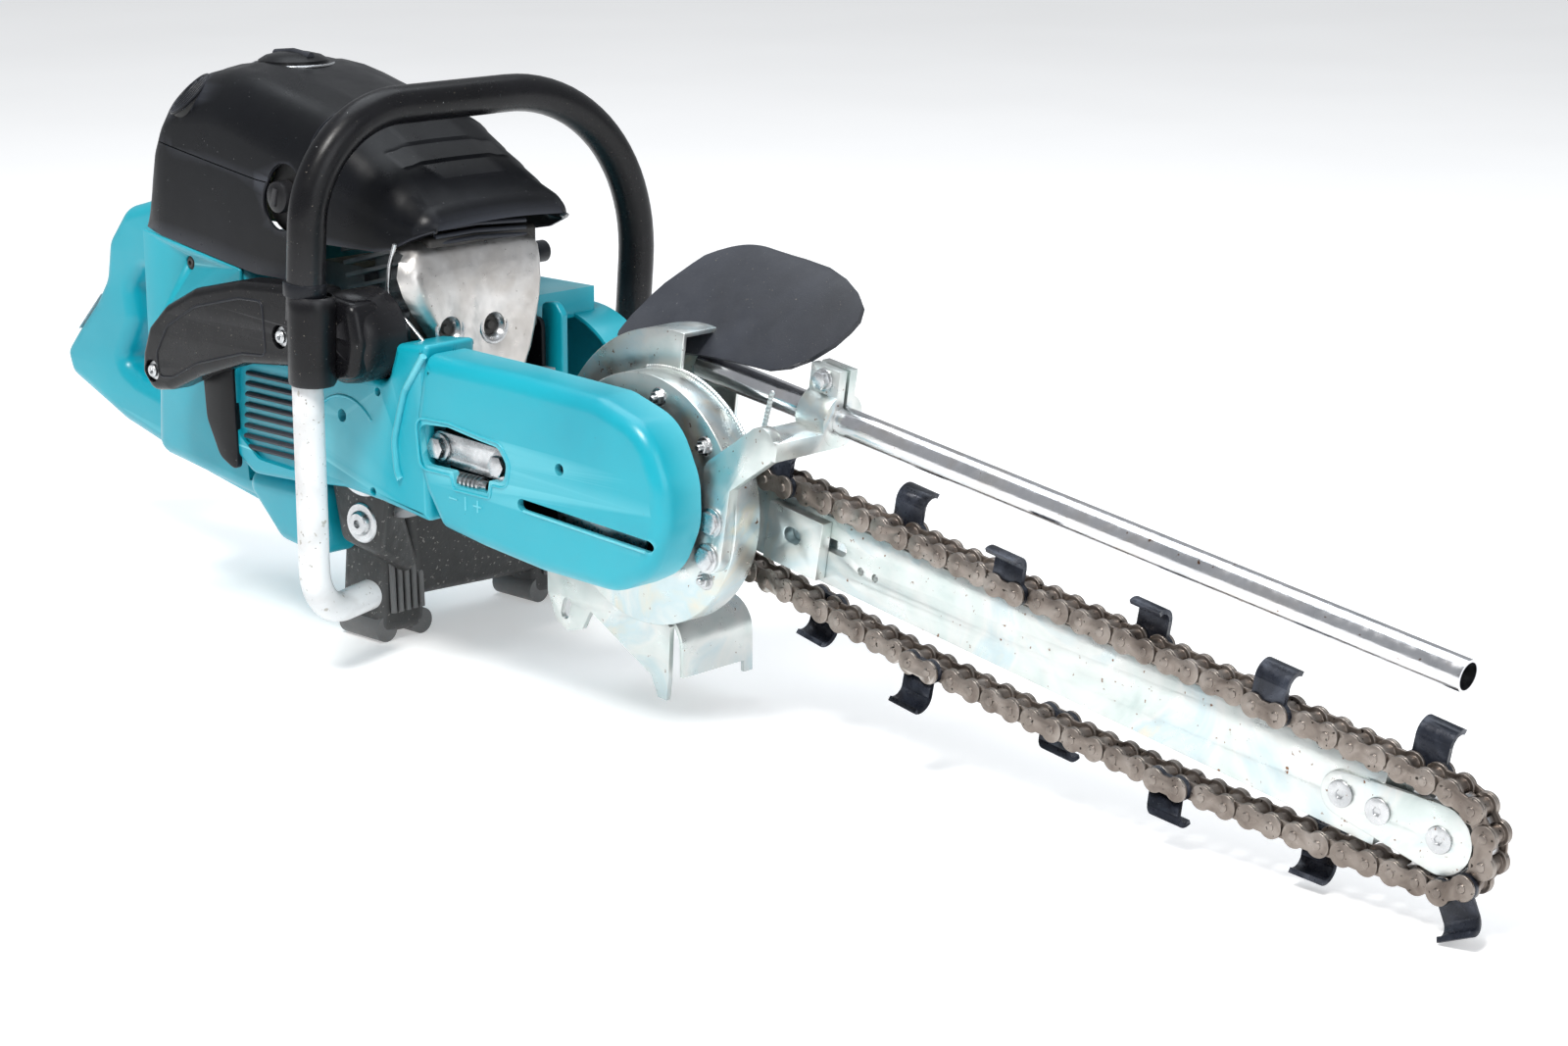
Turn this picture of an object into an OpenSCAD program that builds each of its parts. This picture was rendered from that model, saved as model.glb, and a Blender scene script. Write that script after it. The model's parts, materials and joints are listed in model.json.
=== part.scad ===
// Handheld chain trencher: a two-stroke engine unit with a belt arm,
// and a trenching bar that carries a roller chain with bent cutters.
// +X is forward, towards the nose of the bar, +Y is to the left, +Z is up.
// The origin is on the ground, at the middle of the right front foot.

/* [Stance] */
// Height of the crankshaft axis above the ground
crank_z = 152; // [145:1:165]
// Distance of the crankshaft axis ahead of the front feet
crank_x = 54; // [48:1:60]
// Height of the nose sprocket axis above the ground
nose_z = 53.5; // [53.5:0.5:80]
// Distance of the engine's centre plane to the left of the right foot
engine_y = 35; // [33:1:38]
// Distance of the chain's centre plane to the left of the right foot
chain_y = 36; // [35:1:40]

/* [Chain and bar] */
// Pitch of the roller chain
chain_pitch = 15.875; // [15.5:0.125:16.5]
// Diameter of the chain rollers
roller_d = 10.16; // [9.5:0.02:10.3]
// Diameter of the chain pins
pin_d = 5.08; // [4.5:0.02:5.2]
// Thickness of one link plate
link_t = 2; // [1.6:0.1:2.1]
// Height of one link plate
link_h = 15; // [13:0.5:15.5]
// Width between the inner link plates
chain_inner = 9.5; // [9.2:0.1:10.5]
// Number of cutter spacings round the chain, of twelve pitches each
cutter_groups = 7; // [6:1:8]
// Teeth of the nose sprocket
nose_teeth = 11; // [10:1:11]
// Teeth of the drive sprocket
drive_teeth = 12; // [12:1:13]
// Sag of the lower run at its middle
chain_sag = 14; // [6:1:16]
// Height of the guide bar
bar_h = 44; // [38:1:46]
// Thickness of the guide bar
bar_t = 8; // [6:0.5:8.5]
// Height of a cutter above the pins' centreline
cutter_rise = 24.5; // [20:0.5:24.5]
// Width of a cutter along the chain
cutter_w = 22; // [18:1:24]
// Thickness of the cutter plate
cutter_t = 3.5; // [2.5:0.25:4]

/* [Drive] */
// Distance from the crankshaft axis to the drive shaft axis
belt_centres = 240; // [225:1:260]
// Diameter of the drive shaft
shaft_d = 20; // [18:1:22]
// Pitch diameter of the driven pulley
driven_d = 78; // [70:1:80]
// Pitch diameter of the clutch pulley
clutch_pulley_d = 56; // [50:1:60]
// Width of the drive belt
belt_w = 16; // [12:1:18]
// Outer diameter of the round trencher housing
housing_d = 164; // [160:1:170]
// Outer diameter of the curved chain shield
shield_d = 214; // [206:1:220]

/* [Guard tube] */
// Outer diameter of the guard tube
tube_d = 19; // [16:0.5:20]
// Wall of the guard tube
tube_wall = 1.6; // [1.2:0.1:2.5]
// Height of the guard tube over the bar's axis at its clamp
tube_h = 83; // [80:1:90]
// Rise of the guard tube's front end over the bar's line, in degrees
tube_rise = 1; // [0:0.25:1.5]

/* [Handles] */
// Diameter of the coated front handle
handle_d = 25; // [22:0.5:27]
// Width of the front handle between its legs' centres
handle_w = 302; // [294:1:306]
// Radius of the front handle's right bend
right_bend = 70; // [55:1:80]
// Radius of the front handle's left bend
left_bend = 96; // [70:1:110]
// Forward lean of the front handle
handle_lean = 5; // [0:1:6]
// Height of the front handle's centreline above the ground
handle_z = 386; // [380:1:400]
// Diameter of the lower frame tube
frame_tube_d = 21; // [18:0.5:23]
// Width of the rear handle
grip_w = 36; // [30:1:40]

/* [Engine] */
// Cylinder bore
bore_d = 52; // [46:1:54]
// Backward lean of the cylinder
cylinder_lean = 15; // [12:1:16]
// Thickness of the moulded shells
shell_t = 3; // [2.4:0.2:3.6]
// Width of the hood over the engine
hood_w = 156; // [150:1:160]
// Width of the muffler guard
muffler_w = 124; // [110:1:128]
// Diameter of the recoil starter's cover
starter_d = 150; // [140:1:156]
// Width of one front foot
foot_w = 46; // [40:1:50]
// Distance between the two front feet
foot_gap = 150; // [140:1:155]

/* [Hidden] */
$fn = 48;

// Clearances
run_gap = 0.06;   // radial gap of a running fit
slip_gap = 0.4;   // gap between parts that slide past each other
boundary_gap = 1.9; // radial gap of the roller where two chain groups meet

// Sprockets and chain path, in the bar's frame: nose sprocket at the origin
nose_r = chain_pitch / (2 * sin(180 / nose_teeth));
drive_r = chain_pitch / (2 * sin(180 / drive_teeth));
pitches = 12 * cutter_groups;
taper_guess = asin((drive_r - nose_r) / (chain_pitch * pitches / 2));
nose_wrap = (180 - 2 * taper_guess) * nose_teeth / 360;
drive_wrap = (180 + 2 * taper_guess) * drive_teeth / 360;
run_sum = (pitches - nose_wrap - drive_wrap) * chain_pitch;
sag_extra = 16 * pow(chain_sag, 2) / (3 * run_sum);
run_l = (run_sum - sag_extra) / 2;
low_run_l = run_l + sag_extra;
bar_c = sqrt(pow(run_l, 2) + pow(drive_r - nose_r, 2));
taper = asin((drive_r - nose_r) / bar_c);
run_pitches = run_l / chain_pitch;
low_pitches = low_run_l / chain_pitch;
chain_phase = 0.2; // pitches from the drive sprocket's tangent to the first pin

// Stance
bar_pitch = asin((crank_z - nose_z) / bar_c);
drive_x = crank_x + belt_centres;
drive_z = crank_z;
nose_x = drive_x + bar_c * cos(bar_pitch);

// Numbers of the first pin of each chain group
top_first = 0;
nose_first = 2 * floor((run_pitches - chain_phase + 0.02) / 2);
low_first = nose_first + 6;
drive_first = pitches - 6;

// Chain plate places across the chain, from its centre plane
inner_y = chain_inner / 2;
outer_y = inner_y + link_t + 0.15;
chain_half = outer_y + link_t;

// Places along Y, from the right foot's middle
guard_y0 = -61; // outer face of the belt guard
guard_y1 = -27;
arm_y0 = -21.5;
arm_y1 = -15.5;
housing_y0 = -13;
housing_y1 = 9;
shield_y1 = 66;
belt_y = -39; // middle of the belt
bracket_y0 = -88;
handle_y = -99; // right leg of the front handle
handle_x = crank_x + 9;
handle_foot_z = crank_z + 100.2; // top of the bracket's socket stop

teal = [0.10, 0.70, 0.80];
black = [0.09, 0.09, 0.10];
zinc = [0.74, 0.77, 0.76];
steel = [0.62, 0.62, 0.62];
dark_steel = [0.16, 0.17, 0.20];
brown_steel = [0.45, 0.41, 0.37];

// ---------- frames and shared shapes ----------

module bar_frame() {
    translate([nose_x, chain_y, nose_z]) rotate([0, bar_pitch, 0]) children();
}

module at_drive() { translate([drive_x, 0, drive_z]) children(); }

module at_crank() { translate([crank_x, 0, crank_z]) children(); }

module engine() { translate([crank_x, engine_y, crank_z]) children(); }

// Extrudes a side outline, drawn in X and Z, from y0 to y1
module across(y0, y1) {
    translate([0, y1, 0]) rotate([90, 0, 0]) linear_extrude(y1 - y0) children();
}

module rod_y(r, y0, y1) {
    translate([0, y1, 0]) rotate([90, 0, 0]) cylinder(r = r, h = y1 - y0);
}

module ring_y(r, hole, y0, y1) {
    difference() {
        rod_y(r, y0, y1);
        rod_y(hole, y0 - 1, y1 + 1);
    }
}

// Flat outline with round ends between two points
module slot2(a, b, r) {
    d = b - a;
    side = 0.99; // the sides cut the end circles instead of touching them
    translate(a) circle(r);
    translate(b) circle(r);
    translate(a) rotate(atan2(d[1], d[0])) translate([0, -r * side]) square([norm(d), 2 * r * side]);
}

// Hexagon head with a washer flange and a stub, its face towards -Y
module flange_bolt(across_flats, stub_r, stub_l, head_h = 6) {
    rod_y(across_flats * 0.72, -1.6, 0);
    rotate([90, 0, 0]) cylinder(r = across_flats / sqrt(3), h = head_h, $fn = 6);
    rod_y(stub_r, -0.1, stub_l);
}

// Round screw head with a hexagon socket, its face towards -Y
module socket_screw(head_r, stub_r, stub_l, head_h = 4) {
    difference() {
        rod_y(head_r, -head_h, 0);
        translate([0, -head_h - 1, 0]) rotate([-90, 0, 0]) cylinder(r = head_r * 0.5, h = head_h * 0.8, $fn = 6);
    }
    rod_y(stub_r, -0.1, stub_l);
}

// ---------- chain ----------

function place(centre, r, angle) = centre + r * [cos(angle), sin(angle)];

// Point of the chain's path, u pitches from the drive sprocket's top tangent
function top_point(u) =
    place([-bar_c, 0], drive_r, 90 - taper) + u * chain_pitch * [cos(taper), -sin(taper)];
function nose_point(v) = place([0, 0], nose_r, 90 - taper - v * 360 / nose_teeth);
function sag_at(s) = 4 * chain_sag * s * (low_run_l - s) / pow(low_run_l, 2);
function low_point(v) =
    let (s = v * chain_pitch)
    place([0, 0], nose_r + sag_at(s), -90 + taper)
        - s * run_l / low_run_l * [cos(taper), sin(taper)];
function drive_point(v) = place([-bar_c, 0], drive_r, -90 + taper - v * 360 / drive_teeth);
function path(u) =
    u < 0 ? drive_point(drive_wrap + u)
    : u <= run_pitches ? top_point(u)
    : u <= run_pitches + nose_wrap ? nose_point(u - run_pitches)
    : u <= run_pitches + nose_wrap + low_pitches ? low_point(u - run_pitches - nose_wrap)
    : drive_point(u - run_pitches - nose_wrap - low_pitches);
function pin_at(j) = path(j < pitches ? j + chain_phase : j - pitches + chain_phase);

module on_link(j) {
    a = pin_at(j);
    d = pin_at(j + 1) - a;
    translate([a[0], 0, a[1]]) rotate([0, -atan2(d[1], d[0]), 0]) children();
}

function link_l(j) = norm(pin_at(j + 1) - pin_at(j));

module link_shape(l) {
    circle(link_h / 2);
    translate([l, 0]) circle(link_h / 2);
    translate([0, -link_h * 0.36]) square([l, link_h * 0.72]);
}

module link_plate(l, y0) { across(y0, y0 + link_t) link_shape(l); }

// Outer link: two plates on two pins. A cutter moves its own plate outwards.
module outer_link(j) {
    l = link_l(j);
    right_shift = right_cutter(j) ? cutter_t : 0;
    left_shift = left_cutter(j) ? cutter_t : 0;
    pin_end = chain_half + 1;
    on_link(j) {
        link_plate(l, -outer_y - link_t - right_shift);
        link_plate(l, outer_y + left_shift);
        for (x = [0, l])
            translate([x, 0, 0]) rod_y(pin_d / 2, -pin_end - right_shift, pin_end + left_shift);
    }
}

// Inner link: two plates on two rollers, with bores for the pins
module inner_link(j, last) {
    l = link_l(j);
    on_link(j) difference() {
        union() {
            link_plate(l, -inner_y - link_t);
            link_plate(l, inner_y);
            for (x = [0, l]) translate([x, 0, 0]) rod_y(roller_d / 2, -inner_y - 0.1, inner_y + 0.1);
        }
        rod_y(pin_d / 2 + run_gap, -chain_half, chain_half);
        translate([l, 0, 0])
            rod_y(pin_d / 2 + (last ? boundary_gap : run_gap), -chain_half, chain_half);
    }
}

module chain_group(first, last) {
    color(brown_steel) bar_frame() for (j = [first : 2 : last - 1]) {
        outer_link(j);
        inner_link(j + 1, j + 2 >= last);
    }
}

function right_cutter(j) = j % 12 == 4;
function left_cutter(j) = j % 12 == 10;

// Bent cutter: a foot under the outer plate, a leg, and a curled top.
// Curl is 1 to lean over the chain and -1 to lean away from it.
module cutter(j, side, curl) {
    l = link_l(j);
    curl_r = 8;
    leg_h = cutter_rise - curl_r;
    y0 = outer_y - 0.1;
    on_link(j) mirror([0, side > 0 ? 0 : 1, 0]) {
        difference() {
            across(y0 + 0.15, y0 + cutter_t - 0.05) {
                link_shape(l);
                translate([(l - cutter_w) / 2, 0]) square([cutter_w, leg_h]);
            }
            for (x = [0, l]) translate([x, 0, 0]) rod_y(pin_d / 2 + run_gap, y0 - 1, y0 + cutter_t + 1);
        }
        translate([(l - cutter_w) / 2, y0 + cutter_t / 2 + 0.05, leg_h])
            mirror([0, curl > 0 ? 1 : 0, 0]) curl_plate(curl_r);
    }
}

module curl_plate(r) {
    wall = cutter_t - 0.3;
    translate([0, r, -0.4]) rotate([90, 0, 90]) rotate([0, 0, 60]) linear_extrude(cutter_w) difference() {
        circle(r + wall / 2);
        circle(r - wall / 2);
        translate([0, -2 * r]) square([4 * r, 4 * r], center = true);
        rotate(-60) translate([-2 * r, -4 * r]) square([4 * r, 4 * r]);
    }
}

module cutters(first, last) {
    color(dark_steel) bar_frame() for (j = [first : 2 : last - 1]) {
        if (right_cutter(j)) cutter(j, -1, (j % 24 == 4) ? 1 : -1);
        if (left_cutter(j)) cutter(j, 1, (j % 24 == 10) ? -1 : 1);
    }
}

module chain_top() { chain_group(top_first, nose_first); }
module chain_nose() { chain_group(nose_first, low_first); }
module chain_bottom() { chain_group(low_first, drive_first); }
module chain_drive() { chain_group(drive_first, pitches); }
module cutters_top() { cutters(top_first, nose_first); }
module cutter_nose() { cutters(nose_first, low_first); }
module cutters_bottom() { cutters(low_first, drive_first); }
module cutter_drive() { cutters(drive_first, pitches); }

module sprocket(teeth, r, first_angle, bore_r) {
    tip_r = r + roller_d * 0.15;
    gap_r = roller_d / 2 + 1.4;
    half_w = bar_t / 2 - 0.15;
    difference() {
        rod_y(tip_r, -half_w, half_w);
        for (i = [0 : teeth - 1]) rotate([0, first_angle + i * 360 / teeth, 0])
            translate([r, 0, 0]) rod_y(gap_r, -half_w - 1, half_w + 1);
        rod_y(bore_r, -half_w - 1, half_w + 1);
    }
}

// ---------- bar and nose ----------

bar_rear = -bar_c + drive_r + 22;
bar_front = -nose_r - roller_d - 2;
nose_tail = 64; // distance from the nose axis to the rear nose screw
nose_plate_t = 3.2;
nose_screws_x = [0, -39.5, -nose_tail];

module guide_bar() {
    color(zinc) bar_frame() difference() {
        across(-bar_t / 2, bar_t / 2) translate([bar_rear, -bar_h / 2]) square([bar_front - bar_rear, bar_h]);
        for (x = [nose_screws_x[1], nose_screws_x[2]])
            translate([x, 0, 0]) rod_y(3.3, -bar_t, bar_t);
        for (x = [bar_rear + 96, bar_rear + 108]) translate([x, 0, -4]) rod_y(2.6, -bar_t, bar_t);
        across(-bar_t, bar_t) slot2([bar_rear + 60, 4], [bar_rear + 78, 4], 4.5);
        for (x = [bar_rear + 20, bar_rear + 44]) translate([x, 0, -9]) rod_y(4.3, -bar_t, bar_t);
    }
}

module nose_plate_shape() {
    hull() {
        circle(r = 20, $fn = 64);
        translate([-nose_tail, 0]) circle(r = 13, $fn = 64);
    }
}

module nose_plates() {
    y0 = bar_t / 2 + 0.05;
    color(zinc) bar_frame() for (s = [-1, 1]) mirror([0, s > 0 ? 0 : 1, 0]) difference() {
        across(y0, y0 + nose_plate_t) nose_plate_shape();
        for (x = nose_screws_x) translate([x, 0, 0]) rod_y(3.3, y0 - 1, y0 + nose_plate_t + 1);
    }
}

module nose_screws() {
    face = bar_t / 2 + 0.05 + nose_plate_t + 0.05;
    color(steel) bar_frame() for (x = nose_screws_x) translate([x, 0, 0]) {
        difference() {
            rod_y(7.8, -face - 1.4, -face);
            translate([0, -face - 2, 0]) rotate([-90, 0, 0]) cylinder(r = 2.6, h = 1.6, $fn = 6);
        }
        rod_y(3.1, -face - 0.1, face + 0.1);
        rod_y(6.5, face, face + 3);
    }
}

module nose_sprocket() {
    color(steel) bar_frame()
        sprocket(nose_teeth, nose_r, -(90 - taper - (nose_first + chain_phase - run_pitches) * 360 / nose_teeth), 3.1 + run_gap);
}

// ---------- drive ----------

module drive_axis() { translate([drive_x, chain_y, drive_z]) rotate([0, bar_pitch, 0]) children(); }

module drive_sprocket() {
    turned = (pitches + chain_phase - run_pitches - nose_wrap - low_pitches) * 360 / drive_teeth;
    color(dark_steel) drive_axis() {
        sprocket(drive_teeth, drive_r, -(-90 + taper - turned), shaft_d / 2 + 0.02);
        ring_y(17, shaft_d / 2 + 0.02, 4, 14);
    }
}

module drive_shaft() {
    color(steel) at_drive() {
        rod_y(shaft_d / 2, guard_y0 + 9, chain_y + 18);
        rod_y(shaft_d / 2 + 4, housing_y1 + 8, housing_y1 + 14);
    }
}

module shaft_bearings() {
    color(steel) at_drive() for (y = [housing_y0 - 0.5, housing_y1 - 7.5]) ring_y(20, shaft_d / 2 + run_gap, y, y + 7);
}

module pulley(d, bore_r, y0, y1) {
    difference() {
        union() {
            rod_y(d / 2 - 3, y0, y1);
            rod_y(d / 2 + 4, y0, y0 + 2.5);
            rod_y(d / 2 + 4, y1 - 2.5, y1);
        }
        rod_y(bore_r, y0 - 1, y1 + 1);
    }
}

pulley_y0 = belt_y - belt_w / 2 - 3;
pulley_y1 = belt_y + belt_w / 2 + 3;

module driven_pulley() { color(steel) at_drive() pulley(driven_d, shaft_d / 2 + 0.02, pulley_y0, pulley_y1); }

module drive_belt() {
    inner = 2.7;
    outer = 1.6;
    color(black) difference() {
        across(belt_y - belt_w / 2, belt_y + belt_w / 2) hull() {
            translate([crank_x, crank_z]) circle(clutch_pulley_d / 2 + outer, $fn = 72);
            translate([drive_x, drive_z]) circle(driven_d / 2 + outer, $fn = 72);
        }
        across(belt_y - belt_w, belt_y + belt_w) hull() {
            translate([crank_x, crank_z]) circle(clutch_pulley_d / 2 - inner, $fn = 72);
            translate([drive_x, drive_z]) circle(driven_d / 2 - inner, $fn = 72);
        }
    }
}

module trencher_housing() {
    wall = 5;
    hub_r = 20;
    color(zinc) at_drive() difference() {
        union() {
            rod_y(housing_d / 2, housing_y0, housing_y0 + wall);
            ring_y(housing_d / 2, housing_d / 2 - wall, housing_y0, housing_y1);
            ring_y(hub_r + 6, hub_r, housing_y0, housing_y1);
        }
        rod_y(hub_r + 0.02, housing_y0 - 1, housing_y1 + 1);
    }
}

// Curved sheet over the drive sprocket, closed on its far side
module chain_shield() {
    wall = 3;
    color(steel) at_drive() difference() {
        union() {
            ring_y(shield_d / 2, shield_d / 2 - wall, housing_y1 + 0.3, shield_y1);
            rod_y(shield_d / 2, shield_y1 - wall, shield_y1);
            ring_y(shield_d / 2, housing_d / 2 + 0.3, housing_y1 + 0.3, housing_y1 + 0.3 + wall);
        }
        rod_y(shaft_d / 2 + 3, 0, shield_y1 + 1);
        across(-10, shield_y1 + 10) polygon([[0, 0], [-300, -220], [-300, -300], [300, -300], [300, 300], [42, 300]]);
    }
}

module deflector_flap() {
    flap_t = 4;
    flap_r = 92;
    color(black) translate([drive_x - 36, 0, drive_z]) difference() {
        rotate([90, 0, 90]) linear_extrude(160) difference() {
            translate([94, 58]) circle(flap_r, $fn = 96);
            translate([94, 58]) circle(flap_r - flap_t, $fn = 96);
            translate([-20, -140]) square([300, 218]);
            translate([99, -10]) square([300, 300]);
        }
        translate([170, -20, 60]) rotate([0, 0, 45]) cube([60, 60, 200], center = true);
        translate([36, 0, 0]) rod_y(shield_d / 2 + 0.3, -20, shield_y1 + 60);
    }
}

// ---------- bar mount, clamp and guards ----------

mount_rear = -bar_c + drive_r + 44;

module bar_mount() {
    block_l = 46;
    color(zinc) bar_frame() difference() {
        across(-bar_t / 2 - 9, bar_t / 2 + 9) translate([mount_rear, -19]) square([block_l, 38]);
        across(-bar_t / 2 - 0.05, bar_t / 2 + 0.05) translate([mount_rear - 1, -bar_h]) square([block_l + 2, 2 * bar_h]);
        across(-bar_t - 20, bar_t + 20) slot2([mount_rear + 20, 3], [mount_rear + 24, 3], 5);
    }
}

clamp_x = -bar_c + 90;
clamp_w = 24;

ear_r = tube_d / 2 + 8;
pinch_h = ear_r + 7; // height of the pinch bolt over the tube's axis
clamp_plate_y = -chain_y + housing_y0 - 8.2;

module clamp_bracket() {
    color(zinc) difference() {
        union() {
            tube_frame() {
                rotate([0, 90, 0]) cylinder(r = ear_r, h = clamp_w, center = true);
                translate([-clamp_w / 2, -8, 0]) cube([clamp_w, 16, pinch_h + 8]);
            }
            bar_frame() {
                translate([clamp_x, clamp_plate_y, tube_h - ear_r]) cube([clamp_w, -clamp_plate_y, 12]);
                across(clamp_plate_y, clamp_plate_y + 8) {
                    slot2([clamp_x + 10, tube_h - 12], [clamp_x - 22, 40], 12);
                    slot2([clamp_x - 22, 40], [clamp_x - 22, -12], 12);
                }
            }
        }
        tube_frame() {
            rotate([0, 90, 0]) cylinder(r = tube_d / 2 + run_gap, h = 2 * clamp_w, center = true);
            translate([-clamp_w, -1.5, 0]) cube([2 * clamp_w, 3, pinch_h + 20]);
            translate([0, 0, pinch_h]) rod_y(3.2, -20, 20);
        }
        bar_frame() for (z = plate_bolts_z) translate([clamp_x - 22, 0, z])
            rod_y(4.2, clamp_plate_y - 1, clamp_plate_y + 9);
    }
}

plate_bolts_z = [10, -14];

module hex_fasteners() {
    color(steel) {
        tube_frame() translate([0, -8.1, pinch_h]) flange_bolt(10, 3.1, 20);
        bar_frame() for (z = plate_bolts_z)
            translate([clamp_x - 22, clamp_plate_y - 0.1, z]) flange_bolt(13, 4, 7.9, 4);
        for (p = guard_nuts) translate([p[0], tension_y - 3.2, p[1]]) flange_bolt(13, 4, 2);
    }
}

// Frame on the guard tube's axis, at the middle of its clamp
module tube_frame() {
    bar_frame() translate([clamp_x + clamp_w / 2, 0, tube_h]) rotate([0, -tube_rise, 0]) children();
}

module guard_tube() {
    rear_l = clamp_x + clamp_w / 2 + bar_c + 8;
    front_l = -8 - clamp_x - clamp_w / 2;
    color([0.85, 0.86, 0.88]) tube_frame() translate([-rear_l, 0, 0]) rotate([0, 90, 0]) difference() {
        cylinder(r = tube_d / 2, h = rear_l + front_l);
        translate([0, 0, -1]) cylinder(r = tube_d / 2 - tube_wall, h = rear_l + front_l + 2);
    }
}

module lower_guard() {
    arm_y = 15;
    arm_t = 4;
    fender_y1 = 84;
    color(zinc) {
        difference() {
            across(arm_y, arm_y + arm_t) polygon([
                [drive_x - 124, 82], [drive_x - 124, 62], [drive_x - 116, 44], [drive_x - 104, 38],
                [drive_x - 90, 42], [drive_x - 82, 56], [drive_x - 24, 24], [drive_x - 18, 10],
                [drive_x - 10, 9], [drive_x - 8, 24], [drive_x - 6, 60], [drive_x - 50, 82]
            ]);
            across(arm_y - 1, arm_y + arm_t + 1) slot2([drive_x - 107, 50], [drive_x - 105, 57], 4);
        }
        across(arm_y + arm_t - 0.1, fender_y1) difference() {
            translate([drive_x - 20, 46]) union() {
                difference() {
                    circle(22);
                    circle(19);
                    translate([-40, -80]) square([40, 120]);
                    translate([-40, -40]) square([80, 40]);
                }
                translate([19, -20]) square([3, 20]);
                translate([-60, 19]) square([60.5, 3]);
            }
        }
        across(fender_y1 - 8, fender_y1) translate([drive_x - 1, 18]) square([3, 9]);
    }
}

// ---------- belt guard and arm ----------

guard_r = 62;
guard_lift = 11; // height of the guard's centre line above the drive shaft
guard_rear = 62; // distance of the guard's rear end ahead of the crankshaft
tension_y = guard_y0 + 14;
guard_nuts = [[crank_x + 86, drive_z + 16], [crank_x + 146, drive_z + 13]];

module guard_outline(r) {
    translate([drive_x, drive_z + guard_lift]) circle(r, $fn = 96);
    translate([crank_x + guard_rear, drive_z + guard_lift - r]) square([belt_centres - guard_rear, 2 * r]);
}

module belt_guard() {
    fillet = 12;
    color(teal) difference() {
        union() {
            across(guard_y0 + fillet, guard_y1) guard_outline(guard_r);
            hull() {
                across(guard_y0 + fillet, guard_y0 + fillet + 0.5) guard_outline(guard_r);
                across(guard_y0 + fillet * 0.3, guard_y0 + fillet * 0.4) guard_outline(guard_r - fillet * 0.3);
                across(guard_y0, guard_y0 + 0.5) guard_outline(guard_r - fillet);
            }
        }
        across(guard_y0 + shell_t + 4, guard_y1 + 1) difference() {
            guard_outline(guard_r - shell_t);
            translate([crank_x, drive_z - 100]) square([guard_rear + 3, 200]);
        }
        across(guard_y0 - 1, guard_y0 + 20) {
            slot2([guard_nuts[0][0] - 4, guard_nuts[0][1]], [guard_nuts[1][0] + 4, guard_nuts[1][1]], 13);
            slot2([drive_x - 62, drive_z - 6], [drive_x + 46, drive_z - 12], 5);
            translate([drive_x - 27, drive_z + 23]) circle(4);
            translate([crank_x + 97, drive_z - 8]) square([44, 16]);
        }
        round_cut();
        across(belt_y - 12, belt_y + 12) translate([crank_x + guard_rear - 10, drive_z - 44]) square([30, 88]);
    }
}

// Round cut in the guard's rear end, round the clutch cover's rim
module round_cut() { translate([crank_x, 0, drive_z]) rod_y(guard_rear + 2, guard_y0 + 8, guard_y1 + 1); }

module belt_arm() {
    ring_r = clutch_pulley_d / 2 + 16;
    color(zinc) difference() {
        across(arm_y0, arm_y1) {
            translate([crank_x, crank_z]) circle(ring_r + 8);
            translate([crank_x, crank_z - 34]) square([belt_centres, 68]);
            translate([drive_x, drive_z]) circle(50);
        }
        at_crank() rod_y(ring_r, arm_y0 - 1, arm_y1 + 1);
        at_drive() rod_y(21, arm_y0 - 1, arm_y1 + 1);
    }
}

module tension_plate() {
    color(steel) across(tension_y - 3, tension_y) difference() {
        slot2([guard_nuts[0][0], guard_nuts[0][1]], [guard_nuts[1][0], guard_nuts[1][1]], 11);
        for (p = guard_nuts) translate(p) circle(4.2);
    }
}

module tension_screw() {
    color(steel) translate([crank_x + 100, tension_y - 7, drive_z - 2]) rotate([0, 90, 0]) {
        cylinder(r = 3.5, h = 38);
        for (i = [0 : 6]) translate([0, 0, 6 + i * 4]) cylinder(r = 5.5, h = 2);
    }
}

// ---------- engine ----------

module crankcase() {
    color([0.55, 0.56, 0.57]) engine() difference() {
        union() {
            across(-30, 52) translate([-52, -50]) square([100, 94]);
            rod_y(24, -36, -30);
            rod_y(24, 52, 58);
        }
        rod_y(41, -18, 40);
        rod_y(bearing_r, -40, 60);
        rotate([0, -cylinder_lean, 0]) translate([0, 2, 10]) cyl_body(bore_d / 2 + slip_gap, 60);
    }
}

bearing_r = 10 + run_gap;

module lean() { engine() rotate([0, -cylinder_lean, 0]) children(); }

cyl_y0 = -38;
cyl_y1 = 42;
cyl_z0 = 62;
cyl_top = 148;

module engine_cylinder() {
    color([0.60, 0.61, 0.62]) lean() difference() {
        union() {
            translate([0, 2, cyl_z0]) cyl_body(bore_d / 2 + 7, cyl_top - cyl_z0);
            for (i = [0 : 7]) translate([-38, cyl_y0, cyl_z0 + 12 + i * 9]) cube([76, cyl_y1 - cyl_y0, 3]);
        }
        translate([0, 2, cyl_z0 - 1]) cyl_body(bore_d / 2, cyl_top - cyl_z0 - 9);
        translate([0, 2, cyl_top - 12]) cyl_body(5.2, 20);
    }
}

module cyl_body(r, h) { linear_extrude(h) circle(r); }

module piston() {
    crown_z = cyl_top - 46;
    color(steel) lean() translate([0, 2, crown_z - 34]) difference() {
        cyl_body(bore_d / 2 - run_gap, 34);
        translate([0, 0, -1]) cyl_body(bore_d / 2 - 4, 29);
    }
}

module crankshaft() {
    color(steel) engine() {
        rod_y(10, -78, 84);
        for (y = [-14, 18]) rod_y(38, y, y + 14);
    }
}

module flywheel() {
    color([0.5, 0.5, 0.52]) engine() {
        ring_y(58, 10.02, 60, 64);
        ring_y(22, 10.02, 64, 82);
        for (a = [0 : 30 : 330]) rotate([0, a, 0]) translate([24, 63.5, -1.5]) cube([32, 14, 3]);
    }
}

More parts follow.
